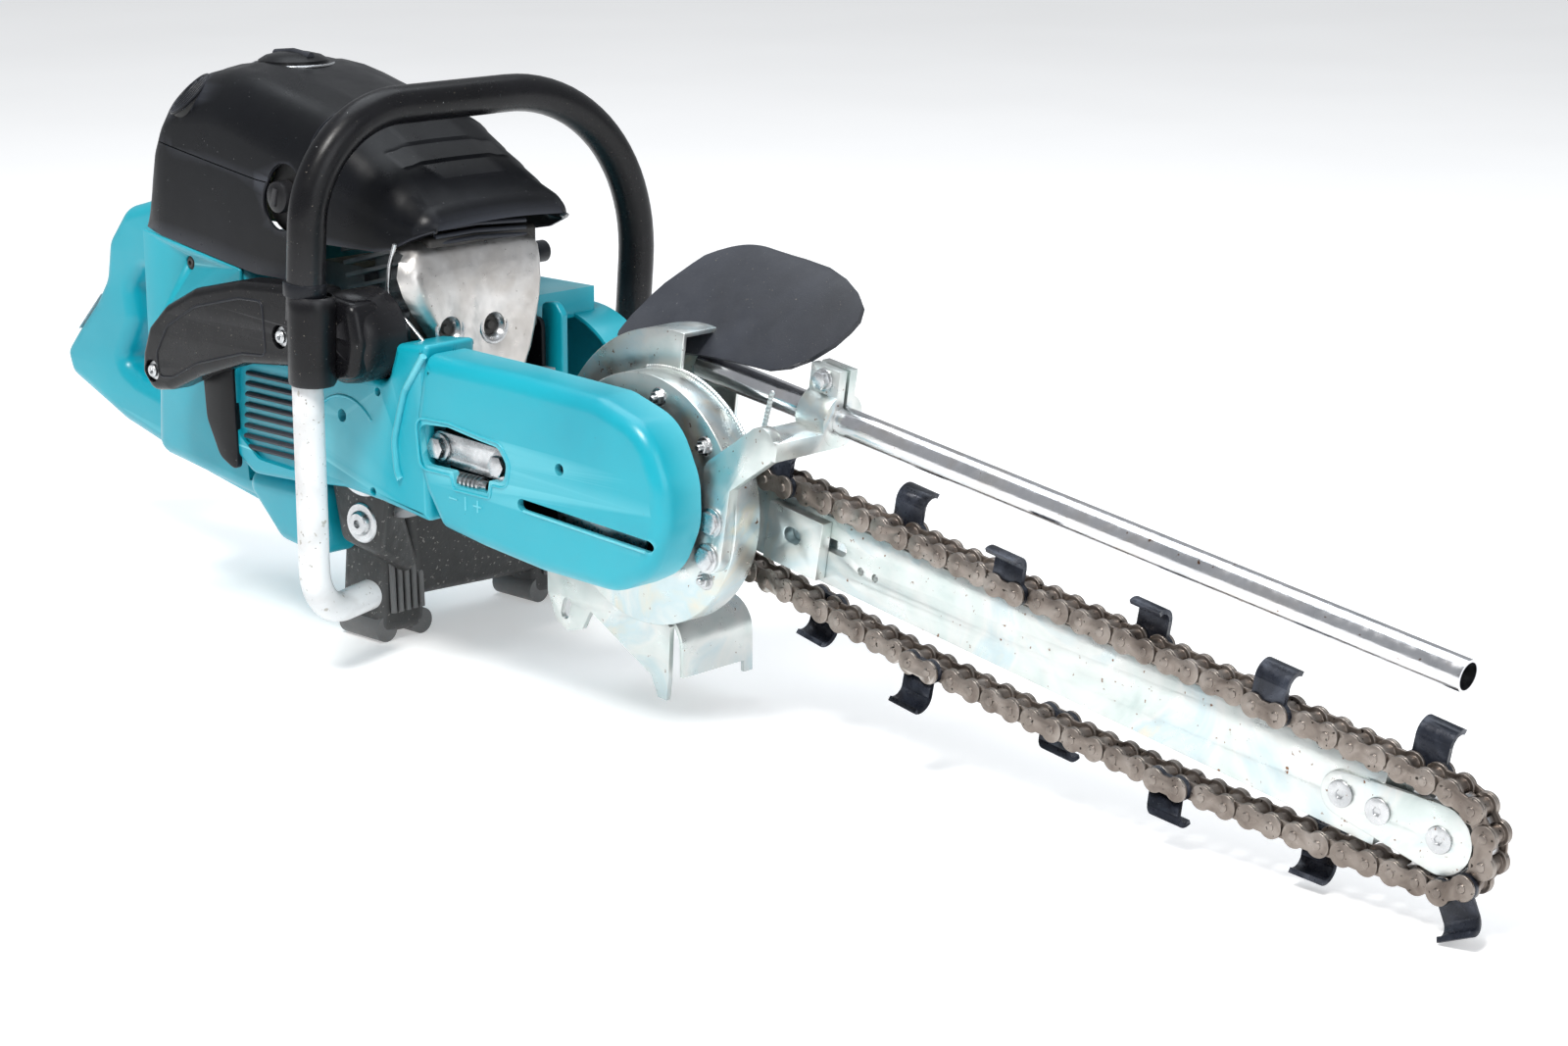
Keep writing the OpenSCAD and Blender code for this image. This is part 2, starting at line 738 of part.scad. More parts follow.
module clutch_shoes() {
    color(dark_steel) at_crank() difference() {
        rod_y(31, clutch_y0 + 4, clutch_y1 - 0.5);
        rod_y(10.02, clutch_y0 - 10, clutch_y1 + 10);
        for (a = [0, 120, 240]) rotate([0, a, 0]) translate([14, clutch_y0, -1]) cube([30, 30, 2]);
    }
}

clutch_y0 = -25;
clutch_y1 = -5;

module clutch_drum() {
    color(steel) at_crank() {
        ring_y(35, 31.6, clutch_y0, clutch_y1);
        ring_y(35, 10 + run_gap, clutch_y0, clutch_y0 + 3);
        pulley(clutch_pulley_d, 10 + run_gap, pulley_y0, pulley_y1);
        ring_y(16, 10 + run_gap, pulley_y1 - 0.1, clutch_y0 + 0.1);
    }
}

module carburettor() {
    color([0.66, 0.67, 0.68]) engine() difference() {
        translate([-116, -20, 66]) cube([46, 44, 44]);
        translate([-120, 2, 88]) rotate([0, 90, 0]) cylinder(r = 11, h = 60);
    }
}

module air_filter() {
    color([0.85, 0.80, 0.62]) engine() translate([-186, -42, 136]) difference() {
        cube([88, 88, 62]);
        translate([14, 14, -1]) cube([60, 60, 54]);
    }
}

muffler_front = 44;

module muffler() {
    color([0.35, 0.34, 0.33]) engine() difference() {
        translate([20, -56, 74]) cube([muffler_front - 20, 97, 72]);
        translate([23, -53, 77]) cube([muffler_front - 26, 91, 66]);
    }
}

module muffler_guard() {
    top_r = 17;
    color(steel) engine() translate([muffler_front + 1, -80, 0]) difference() {
        across(0, muffler_w) {
            difference() {
                translate([0, 130]) circle(top_r);
                translate([0, 130]) circle(top_r - 2.5);
                translate([-40, 60]) square([40, 120]);
                translate([-40, 90]) square([80, 40]);
            }
            translate([top_r - 2.5, 60]) square([2.5, 70]);
        }
        for (p = [[34, 88], [76, 88]]) translate([top_r - 5, p[0], p[1]]) rotate([0, 90, 0]) cylinder(r = 6, h = 10);
    }
}

// ---------- shells ----------

hood_y0 = -hood_w / 2;
hood_y1 = hood_w / 2;
seam_z = 176;

module hood_form(inset) {
    r = 16 - inset;
    hull() {
        for (y = [hood_y0 + 16, hood_y1 - 16]) {
            translate([-224, y, 120]) sphere(r = r, $fn = 28);
            translate([-196, y, 196]) sphere(r = r, $fn = 28);
            translate([-60, y, 196]) sphere(r = r, $fn = 28);
            translate([-60, y, 120]) sphere(r = r, $fn = 28);
        }
        for (y = [hood_y0 + 40, hood_y1 - 40]) {
            translate([-190, y, 216]) sphere(r = r, $fn = 28);
            translate([-162, y, 227]) sphere(r = r, $fn = 28);
            translate([-114, y, 223]) sphere(r = r, $fn = 28);
            translate([-72, y, 214]) sphere(r = r, $fn = 28);
        }
    }
}

module front_form(inset) {
    r = 12 - inset;
    hull() {
        for (y = [hood_y0 + 12, hood_y1 - 18]) {
            translate([-70, y, 196]) sphere(r = r, $fn = 28);
            translate([34, y + (y < 0 ? 6 : -4), 152]) sphere(r = r, $fn = 28);
            translate([-70, y, 130]) sphere(r = r, $fn = 28);
            translate([0, y, 130]) sphere(r = r, $fn = 28);
        }
        for (y = [hood_y0 + 34, hood_y1 - 34]) {
            translate([-70, y, 217]) sphere(r = r, $fn = 28);
            translate([-32, y, 207]) sphere(r = r, $fn = 28);
            translate([-12, y, 198]) sphere(r = r, $fn = 28);
            translate([34, y, 157]) sphere(r = r, $fn = 28);
        }
    }
}

module engine_hood() {
    color(black) engine() difference() {
        union() {
            intersection() {
                hood_form(0);
                translate([-260, -100, 112.6]) cube([202, 200, seam_z - 112.6]);
            }
            intersection() {
                front_form(0);
                translate([-58.5, -100, 134]) cube([140, 200, 140]);
            }
        }
        hood_form(shell_t);
        front_form(shell_t);
        translate([-300, -60, 100]) cube([380, 120, 30]);
        translate([-58, -60, 100]) cube([muffler_front + 59, 120, 48]);
        across(hood_y0 - 5, hood_y0 + 14) slot2([-85, 158], [-85, 170], 12);
        translate(choke_pos) rotate([0, 90, 0]) cylinder(r = 4 + slip_gap, h = 60);
    }
}

module filter_cover() {
    color(black) engine() difference() {
        intersection() {
            hood_form(0);
            translate([-260, -100, seam_z + 0.3]) cube([201, 200, 140]);
        }
        hood_form(shell_t);
        translate([knob_x, 0, 200]) cylinder(r = 6.3, h = 60);
    }
}

knob_x = -167; // from the crankshaft's middle

module top_knob() {
    color(black) engine() translate([knob_x, 0, 0]) {
        translate([0, 0, 216]) cylinder(r = 6, h = 28);
        translate([0, 0, 243.6]) cylinder(r = 28, h = 5);
        translate([-20, -5, 243.6]) cube([40, 10, 9]);
    }
}

module decompression_button() {
    color(black) engine() translate([-85, hood_y0, 165]) {
        rod_y(8, -3, 6);
        rod_y(4.5, 5.9, 24);
    }
}

// Outer form of the tank and rear housing
module rear_form() {
    hull() {
        for (y = [hood_y0 + 12, hood_y1 - 12], x = [-228, -140]) translate([x, y, 104]) sphere(r = 12, $fn = 24);
        for (y = [hood_y0 + 24, hood_y1 - 24]) {
            translate([-250, y, -34]) sphere(r = 14, $fn = 24);
            translate([-80, y, -58]) sphere(r = 14, $fn = 24);
        }
    }
}

cap_pos = [-160, hood_y1 - 6, -10];
rear_top = 112.3;

module rear_housing() {
    color(teal) engine() difference() {
        union() {
            rear_form();
            translate(cap_pos) rod_y(23, -12, -0.3);
        }
        translate(cap_pos) rod_y(21, -0.3, 20);
        translate([-216, -60, 20]) cube([150, 120, 120]);
        translate([-300, -100, rear_top]) cube([300, 200, 60]);
        translate([-66, -100, -100]) cube([100, 200, 300]);
        translate([-148, -100, -48]) cube([100, 100 - engine_y - 0.5, 112]);
    }
}

// Rear handle: a loop with a trigger slot under it and a lock slot on top
module rear_handle() {
    grip_r = 14;
    color(teal) engine() difference() {
        across(-grip_w / 2, grip_w / 2) {
            slot2([-220, 108], [-330, 108], grip_r);
            slot2([-330, 108], [-376, 56], grip_r);
            slot2([-376, 56], [-408, 10], grip_r);
            slot2([-408, 10], [-425, -6], grip_r + 4);
            slot2([-425, -6], [-280, -44], grip_r + 6);
        }
        translate([-0.3, 0, 0]) rear_form();
        translate([-238, -50, 60]) cube([60, 100, 100]);
        translate([-326, -10.5, 113]) cube([48, 21, 12]);
        translate([-328, -9, 90]) cube([36, 18, 16]);
    }
}

module fuel_cap() { color(black) engine() translate(cap_pos) rod_y(20, 0, 11); }

trigger_pivot = [-298, 0, 97];
lock_pivot = [-283, 0, 119.5];
pivot_r = 2.4; // radius of the pivot bosses of the trigger and its lock

module throttle_trigger() {
    color(black) engine() {
        across(-8, 8) polygon([[-326, 98], [-294, 102], [-294, 92], [-304, 74], [-318, 70], [-322, 74]]);
        translate(trigger_pivot) rod_y(pivot_r, -8, 8);
    }
}

module throttle_lock() {
    color(black) engine() {
        across(-9.5, 9.5) polygon([[-324, 120], [-320, 131], [-288, 128], [-280, 122], [-280, 117]]);
        translate(lock_pivot) rod_y(pivot_r, -9.5, 9.5);
    }
}

module stop_switch() { color(black) engine() translate([-262, -6, 122.3]) cube([14, 12, 7]); }

choke_pos = [-246, -30, 140];

module choke_lever() {
    color(black) engine() translate(choke_pos) rotate([0, 90, 0]) {
        translate([0, 0, -12]) cylinder(r = 9, h = 9);
        translate([0, 0, -3.1]) cylinder(r = 4, h = 34);
    }
}

// Quarter bend in the Y and Z plane, from straight up to straight along +Y
module quarter_bend(bend_r, r) {
    rotate([90, 0, 90]) translate([bend_r, 0, 0]) rotate([0, 0, 90])
        rotate_extrude(angle = 90) translate([bend_r, 0]) circle(r);
}

// The handle leans forward about its foot in the bracket
module handle_frame() {
    translate([handle_x, 0, handle_foot_z]) rotate([0, handle_lean, 0]) translate([0, 0, -handle_foot_z]) children();
}

module front_handle() {
    r = handle_d / 2;
    left_y = handle_y + handle_w;
    left_foot_z = crank_z + 30;
    color(black) handle_frame() {
        translate([0, handle_y, handle_foot_z]) cylinder(r = r, h = handle_z - right_bend - handle_foot_z);
        translate([0, handle_y, handle_z - right_bend]) quarter_bend(right_bend, r);
        translate([0, 0, handle_z]) rod_y(r, handle_y + right_bend, left_y - left_bend);
        translate([0, left_y, handle_z - left_bend]) mirror([0, 1, 0]) quarter_bend(left_bend, r);
        translate([0, left_y, left_foot_z]) cylinder(r = r, h = handle_z - left_bend - left_foot_z);
    }
}

module handle_bracket() {
    boss_r = 30;
    color(black) difference() {
        union() {
            across(bracket_y0, bracket_y0 + 24) {
                polygon([
                    [-139, 205], [-127, 224], [-87, 248], [-25, 265], [45, 268], [60, 262], [60, 205],
                    [37, 212], [-23, 206], [-75, 190], [-116, 173], [-133, 179]
                ]);
                translate([handle_x + 7, crank_z + 86]) circle(boss_r + 4);
            }
            translate([handle_x + 7, 0, crank_z + 86]) rod_y(boss_r, bracket_y0, -45);
            translate([handle_x, handle_y, crank_z + 56]) cylinder(r = 17, h = 58);
        }
        handle_frame() translate([0, handle_y, handle_foot_z - 0.2]) cylinder(r = handle_d / 2 + 0.02, h = 100);
        translate([handle_x, handle_y, 0]) cylinder(r = frame_tube_d / 2 + 0.02, h = crank_z + 80);
    }
}

module cover_screws() {
    color(steel) {
        for (p = [[20, bracket_y0, 231], [handle_x, handle_y - 17, 230], [-128, bracket_y0, 190]])
            translate(p - [0, 0.05, 0]) socket_screw(6.5, 3, 0.04);
        translate([crank_x + 52, guard_y0 - 0.05, crank_z + 4]) socket_screw(5.5, 2.5, 0.04);
        translate([-137, engine_y + hood_y0 - 0.05, crank_z + 109]) socket_screw(7, 3, 0.04, 2);
    }
}

module lower_tube() {
    r = frame_tube_d / 2;
    bend = 34;
    low_z = 46;
    color([0.88, 0.89, 0.90]) translate([handle_x, handle_y, low_z + bend]) rotate([0, 0, 17]) {
        cylinder(r = r, h = crank_z + 80 - bend - low_z);
        mirror([0, 0, 1]) quarter_bend(bend, r);
        translate([0, 0, -bend]) rod_y(r, bend, 64);
    }
}

module front_foot() {
    color(black) {
        for (y = [0, foot_gap]) difference() {
            translate([-24, y - foot_w / 2, 0]) cube([44, foot_w, 78]);
            translate([6, y - foot_w / 2 + 14, -1]) cube([60, foot_w - 28, 16]);
            translate([-40, y - foot_w / 2 - 1, 20]) cube([22, foot_w + 2, 80]);
        }
        translate([-20, foot_w / 2 - 0.1, 34]) cube([34, foot_gap - foot_w + 0.2, 40]);
        translate([-10, -20, 73.9]) cube([30, 90, 22]);
    }
}

module starter_cover() {
    y0 = engine_y + 98;
    color(teal) difference() {
        union() {
            at_crank() rod_y(starter_d / 2, y0, y0 + 34);
            across(y0 - 55.7, y0 + 20) translate([crank_x - 62, crank_z - 60]) square([80, 150]);
        }
        at_crank() rod_y(starter_d / 2 - shell_t, y0 - 61, y0 + 30);
        across(y0 - 61, y0 + 17) translate([crank_x - 59, crank_z - 57]) square([74, 144]);
        engine() translate(rope_pos) cylinder(r = rope_r + 1, h = 120);
    }
}

rope_pos = [-48, 108, 0]; // from the crankshaft's middle, over the engine's centre plane
rope_r = 2;
grip_z = 90.4;

// Recoil starter grip, with the stretch of rope that it pulls out of the cover
module starter_grip() {
    color(black) engine() translate(rope_pos) {
        translate([0, 0, grip_z]) cylinder(r = 6, h = 20);
        translate([0, 0, grip_z + 16]) rod_y(8, -22, 22);
        translate([0, 0, grip_z - 120]) cylinder(r = rope_r, h = 120.1);
    }
}

module clutch_cover() {
    color(teal) difference() {
        across(guard_y0, -1) polygon([
            [-90, 176], [-86, 132], [-60, 112], [0, 108], [crank_x + guard_rear - 2, 100],
            [crank_x + guard_rear - 2, 205], [20, 207], [-60, 203]
        ]);
        across(guard_y0 + shell_t, 0) polygon([
            [-87, 173], [-83, 134], [-58, 115], [0, 111], [crank_x + guard_rear + 2, 103],
            [crank_x + guard_rear + 2, 202], [20, 204], [-60, 200]
        ]);
        for (i = [0 : 6]) across(guard_y0 - 1, guard_y0 + shell_t + 1)
            slot2([-58 + i * 2, 136 + i * 8], [-8, 136 + i * 8], 2.2);
        at_crank() rod_y(clutch_pulley_d / 2 + 24.5, arm_y0 - 0.5, 1);
        translate([45, 0, 178]) rod_y(5, guard_y0 - 1, guard_y0 + 10);
        translate([-75, 0, 146]) rod_y(5, guard_y0 - 1, guard_y0 + 10);
    }
}

module spark_plug() {
    color([0.9, 0.9, 0.88]) lean() translate([0, 2, cyl_top - 12]) {
        cyl_body(5, 14);
        translate([0, 0, 12]) cyl_body(9, 22);
    }
}

guide_bar();
nose_plates();
nose_screws();
nose_sprocket();
drive_sprocket();
drive_shaft();
shaft_bearings();
driven_pulley();
drive_belt();
chain_top();
chain_nose();
chain_bottom();
chain_drive();
cutters_top();
cutter_nose();
cutters_bottom();
cutter_drive();
trencher_housing();
chain_shield();
deflector_flap();
clamp_bracket();
hex_fasteners();
bar_mount();
guard_tube();
lower_guard();
belt_guard();
belt_arm();
tension_plate();
tension_screw();
crankcase();
engine_cylinder();
piston();
crankshaft();
flywheel();
clutch_shoes();
clutch_drum();
carburettor();
air_filter();
muffler();
muffler_guard();
engine_hood();
filter_cover();
top_knob();
decompression_button();
rear_housing();
rear_handle();
fuel_cap();
throttle_trigger();
throttle_lock();
stop_switch();
choke_lever();
front_handle();
handle_bracket();
cover_screws();
lower_tube();
front_foot();
starter_cover();
starter_grip();
clutch_cover();
spark_plug();
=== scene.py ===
"""Looks of a handheld chain trencher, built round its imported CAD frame.

The frame gives every place and size. Each sub-assembly is a class that holds its own sizes in millimetres, builds its
meshes and dresses them with a finish. Every mesh is in metres, in the frame's axes: +X towards the bar's nose, +Y to
the left, +Z up, with the ground at zero.
"""

import json
import logging
import math
from dataclasses import dataclass, field
from enum import Enum
from typing import Callable, Iterable, Sequence

import bmesh
import bpy
from mathutils import Matrix, Vector

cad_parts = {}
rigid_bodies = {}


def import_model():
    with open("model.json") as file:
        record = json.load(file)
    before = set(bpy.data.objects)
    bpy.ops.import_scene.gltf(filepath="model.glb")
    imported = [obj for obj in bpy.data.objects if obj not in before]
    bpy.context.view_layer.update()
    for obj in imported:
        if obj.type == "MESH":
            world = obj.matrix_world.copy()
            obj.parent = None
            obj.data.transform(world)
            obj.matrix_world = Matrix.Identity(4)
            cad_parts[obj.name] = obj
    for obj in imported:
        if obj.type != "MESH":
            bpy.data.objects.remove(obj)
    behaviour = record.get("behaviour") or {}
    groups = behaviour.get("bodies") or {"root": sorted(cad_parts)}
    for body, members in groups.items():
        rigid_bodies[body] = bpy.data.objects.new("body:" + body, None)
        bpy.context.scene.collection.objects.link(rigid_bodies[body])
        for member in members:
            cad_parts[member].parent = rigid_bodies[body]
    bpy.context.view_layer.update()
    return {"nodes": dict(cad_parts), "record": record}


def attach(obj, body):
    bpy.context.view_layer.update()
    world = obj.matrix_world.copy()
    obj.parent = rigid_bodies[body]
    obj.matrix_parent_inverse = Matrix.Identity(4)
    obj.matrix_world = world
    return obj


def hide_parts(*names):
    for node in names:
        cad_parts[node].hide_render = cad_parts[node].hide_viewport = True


logging.basicConfig(level=logging.INFO, format="%(message)s")
log = logging.getLogger("trencher")

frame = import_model()

MM = 0.001

Point = tuple[float, float, float]
Flat = tuple[float, float]
Colour = tuple[float, float, float]


class Body(str, Enum):
    """Moving bodies of the frame."""

    MACHINE = "machine"
    DRIVE = "drive"
    UPPER_RUN = "upper_run"
    NOSE = "nose"
    LOWER_RUN = "lower_run"
    DRUM = "drum"
    CRANK = "crank"
    PISTON = "piston"
    TOP_KNOB = "top_knob"
    BUTTON = "decompression_button"
    FUEL_CAP = "fuel_cap"
    TRIGGER = "trigger"
    LOCK = "lock"
    STOP = "stop_switch"
    CHOKE = "choke"
    GUARD_TUBE = "guard_tube"
    STARTER = "starter_grip"
    TENSION = "tension_screw"


BODY_OF = {node: body for body, nodes in frame["record"]["behaviour"]["bodies"].items() for node in nodes}
SLOT_OF = {part["node"]: part["material_slot"] for part in frame["record"]["subparts"]}


# ---------------------------------------------------------------- finishes


class Graph:
    """A material's node tree, with short calls for the nodes that the finishes share."""

    def __init__(self, name: str) -> None:
        """Make an empty node material.

        Args:
            name: name of the new material.
        """
        self.material = bpy.data.materials.new(name)
        self.material.use_nodes = True
        self.tree = self.material.node_tree
        self.shader = self.tree.nodes["Principled BSDF"]
        self.coords = self.tree.nodes.new("ShaderNodeTexCoord").outputs["Object"]

    def link(self, source: bpy.types.NodeSocket, target: bpy.types.NodeSocket) -> None:
        """Join two sockets."""
        self.tree.links.new(source, target)

    def stretched(self, scale: Point) -> bpy.types.NodeSocket:
        """Object coordinates scaled along each axis.

        Args:
            scale: factor along X, Y and Z.

        Returns:
            The Mapping node's output.
        """
        node = self.tree.nodes.new("ShaderNodeMapping")
        node.inputs["Scale"].default_value = scale
        self.link(self.coords, node.inputs["Vector"])
        return node.outputs["Vector"]

    def noise(
        self, scale: float, detail: float = 3.0, stretch: Point | None = None, distortion: float = 0.0
    ) -> bpy.types.NodeSocket:
        """A noise field.

        Args:
            scale: noise scale per metre.
            detail: number of octaves.
            stretch: factors that stretch the noise along each axis.
            distortion: how far the noise is warped.

        Returns:
            The noise value.
        """
        node = self.tree.nodes.new("ShaderNodeTexNoise")
        node.inputs["Scale"].default_value = scale
        node.inputs["Detail"].default_value = detail
        node.inputs["Distortion"].default_value = distortion
        self.link(self.stretched(stretch) if stretch else self.coords, node.inputs["Vector"])
        return node.outputs["Fac"]

    def ramp(self, value: bpy.types.NodeSocket, stops: Sequence[tuple[float, Colour]]) -> bpy.types.NodeSocket:
        """Colours along a value.

        Args:
            value: socket that picks the colour.
            stops: place and colour of each stop.

        Returns:
            The ramp's colour.
        """
        node = self.tree.nodes.new("ShaderNodeValToRGB")
        elements = node.color_ramp.elements
        while len(elements) < len(stops):
            elements.new(0.5)
        for element, (place, colour) in zip(elements, stops):
            element.position = place
            element.color = (*colour, 1.0)
        self.link(value, node.inputs["Fac"])
        return node.outputs["Color"]

    def span(self, value: bpy.types.NodeSocket, low: float, high: float, to: Flat) -> bpy.types.NodeSocket:
        """Map a stretch of a value to another stretch, clamped.

        Args:
            value: socket to map.
            low: value that maps to the first end.
            high: value that maps to the second end.
            to: the two ends.

        Returns:
            The mapped value.
        """
        node = self.tree.nodes.new("ShaderNodeMapRange")
        node.inputs["From Min"].default_value = low
        node.inputs["From Max"].default_value = high
        node.inputs["To Min"].default_value = to[0]
        node.inputs["To Max"].default_value = to[1]
        self.link(value, node.inputs["Value"])
        return node.outputs["Result"]

    def mix(
        self, share: bpy.types.NodeSocket, first: bpy.types.NodeSocket, second: Colour
    ) -> bpy.types.NodeSocket:
        """Blend a colour socket towards one colour.

        Args:
            share: how much of the second colour shows.
            first: colour socket underneath.
            second: colour on top.

        Returns:
            The mixed colour.
        """
        node = self.tree.nodes.new("ShaderNodeMix")
        node.data_type = "RGBA"
        self.link(share, node.inputs["Factor"])
        self.link(first, node.inputs["A"])
        node.inputs["B"].default_value = (*second, 1.0)
        return node.outputs["Result"]

    def add_bump(self, height: bpy.types.NodeSocket, depth: float, below: bpy.types.NodeSocket | None):
        """Stack one bump layer.

        Args:
            height: the height field.
            depth: bump distance in metres.
            below: the normal of the layer underneath, if there is one.

        Returns:
            The bumped normal.
        """
        node = self.tree.nodes.new("ShaderNodeBump")
        node.inputs["Strength"].default_value = 1.0
        node.inputs["Distance"].default_value = depth
        self.link(height, node.inputs["Height"])
        if below is not None:
            self.link(below, node.inputs["Normal"])
        return node.outputs["Normal"]


@dataclass(frozen=True)
class Specks:
    """Small marks scattered over a finish: dust, chips or rust."""

    colour: Colour
    scale: float
    threshold: float
    soft: float = 0.03


@dataclass(frozen=True)
class EdgeWearAndHighlight:
    """Lighter convex edges: rubbed wear on the rubber, foot and chain finishes, a painted highlight on the teal plastic
    and partly a painted sheen on the black plastic.
    """

    colour: Colour
    start: float = 0.515
    end: float = 0.56
    share: float = 0.8


@dataclass(frozen=True)
class Scratches:
    """Fine lines that run along one direction."""

    stretch: Point
    scale: float
    depth: float


@dataclass(frozen=True)
class Finish:
    """One procedural finish: a tinted colour, a roughness range, grain, the marks of use, and on some finishes a
    painted edge highlight.
    """

    name: str
    tints: tuple[tuple[float, Colour], ...]
    tint_scale: float = 9.0
    tint_detail: float = 4.0
    tint_warp: float = 0.6
    roughness: Flat = (0.35, 0.5)
    metallic: float = 0.0
    grain_scale: float = 900.0
    grain_depth: float = 0.00004
    dents: Flat | None = None
    scratches: Scratches | None = None
    specks: tuple[Specks, ...] = ()
    edge_wear_and_highlight: EdgeWearAndHighlight | None = None
    specular: float = 0.5
    coat: float = 0.0

    def build(self) -> bpy.types.Material:
        """Build the node material.

        Returns:
            The finished material.
        """
        graph = Graph(self.name)
        shader = graph.shader
        field_value = graph.noise(self.tint_scale, self.tint_detail, distortion=self.tint_warp)
        colour = graph.ramp(field_value, self.tints)
        rough_field = graph.noise(self.tint_scale * 6.0, 5.0)
        rough = graph.span(rough_field, 0.3, 0.7, self.roughness)
        for mark in self.specks:
            speck_field = graph.noise(mark.scale, 2.0)
            share = graph.span(speck_field, mark.threshold, mark.threshold + mark.soft, (0.0, 1.0))
            colour = graph.mix(share, colour, mark.colour)
        # Lighter convex edges by pointiness: rubbed wear, and on the teal and black plastic a painted edge highlight.
        if self.edge_wear_and_highlight:
            point = graph.tree.nodes.new("ShaderNodeNewGeometry").outputs["Pointiness"]
            share = graph.span(point, self.edge_wear_and_highlight.start, self.edge_wear_and_highlight.end, (0.0, self.edge_wear_and_highlight.share))
            colour = graph.mix(share, colour, self.edge_wear_and_highlight.colour)
        normal = graph.add_bump(graph.noise(self.grain_scale, 4.0), self.grain_depth, None)
        if self.dents:
            normal = graph.add_bump(graph.noise(self.dents[0], 3.0), self.dents[1], normal)
        if self.scratches:
            lines = graph.noise(self.scratches.scale, 6.0, self.scratches.stretch)
            normal = graph.add_bump(lines, self.scratches.depth, normal)
        graph.link(colour, shader.inputs["Base Color"])
        graph.link(rough, shader.inputs["Roughness"])
        graph.link(normal, shader.inputs["Normal"])
        shader.inputs["Metallic"].default_value = self.metallic
        shader.inputs["Specular IOR Level"].default_value = self.specular
        shader.inputs["Coat Weight"].default_value = self.coat
        shader.inputs["Coat Roughness"].default_value = 0.15
        return graph.material


DUST = Specks((0.30, 0.27, 0.22), 700.0, 0.74)
LIGHT_DUST = Specks((0.62, 0.64, 0.66), 900.0, 0.77)
RUST = Specks((0.20, 0.09, 0.04), 260.0, 0.70, 0.06)

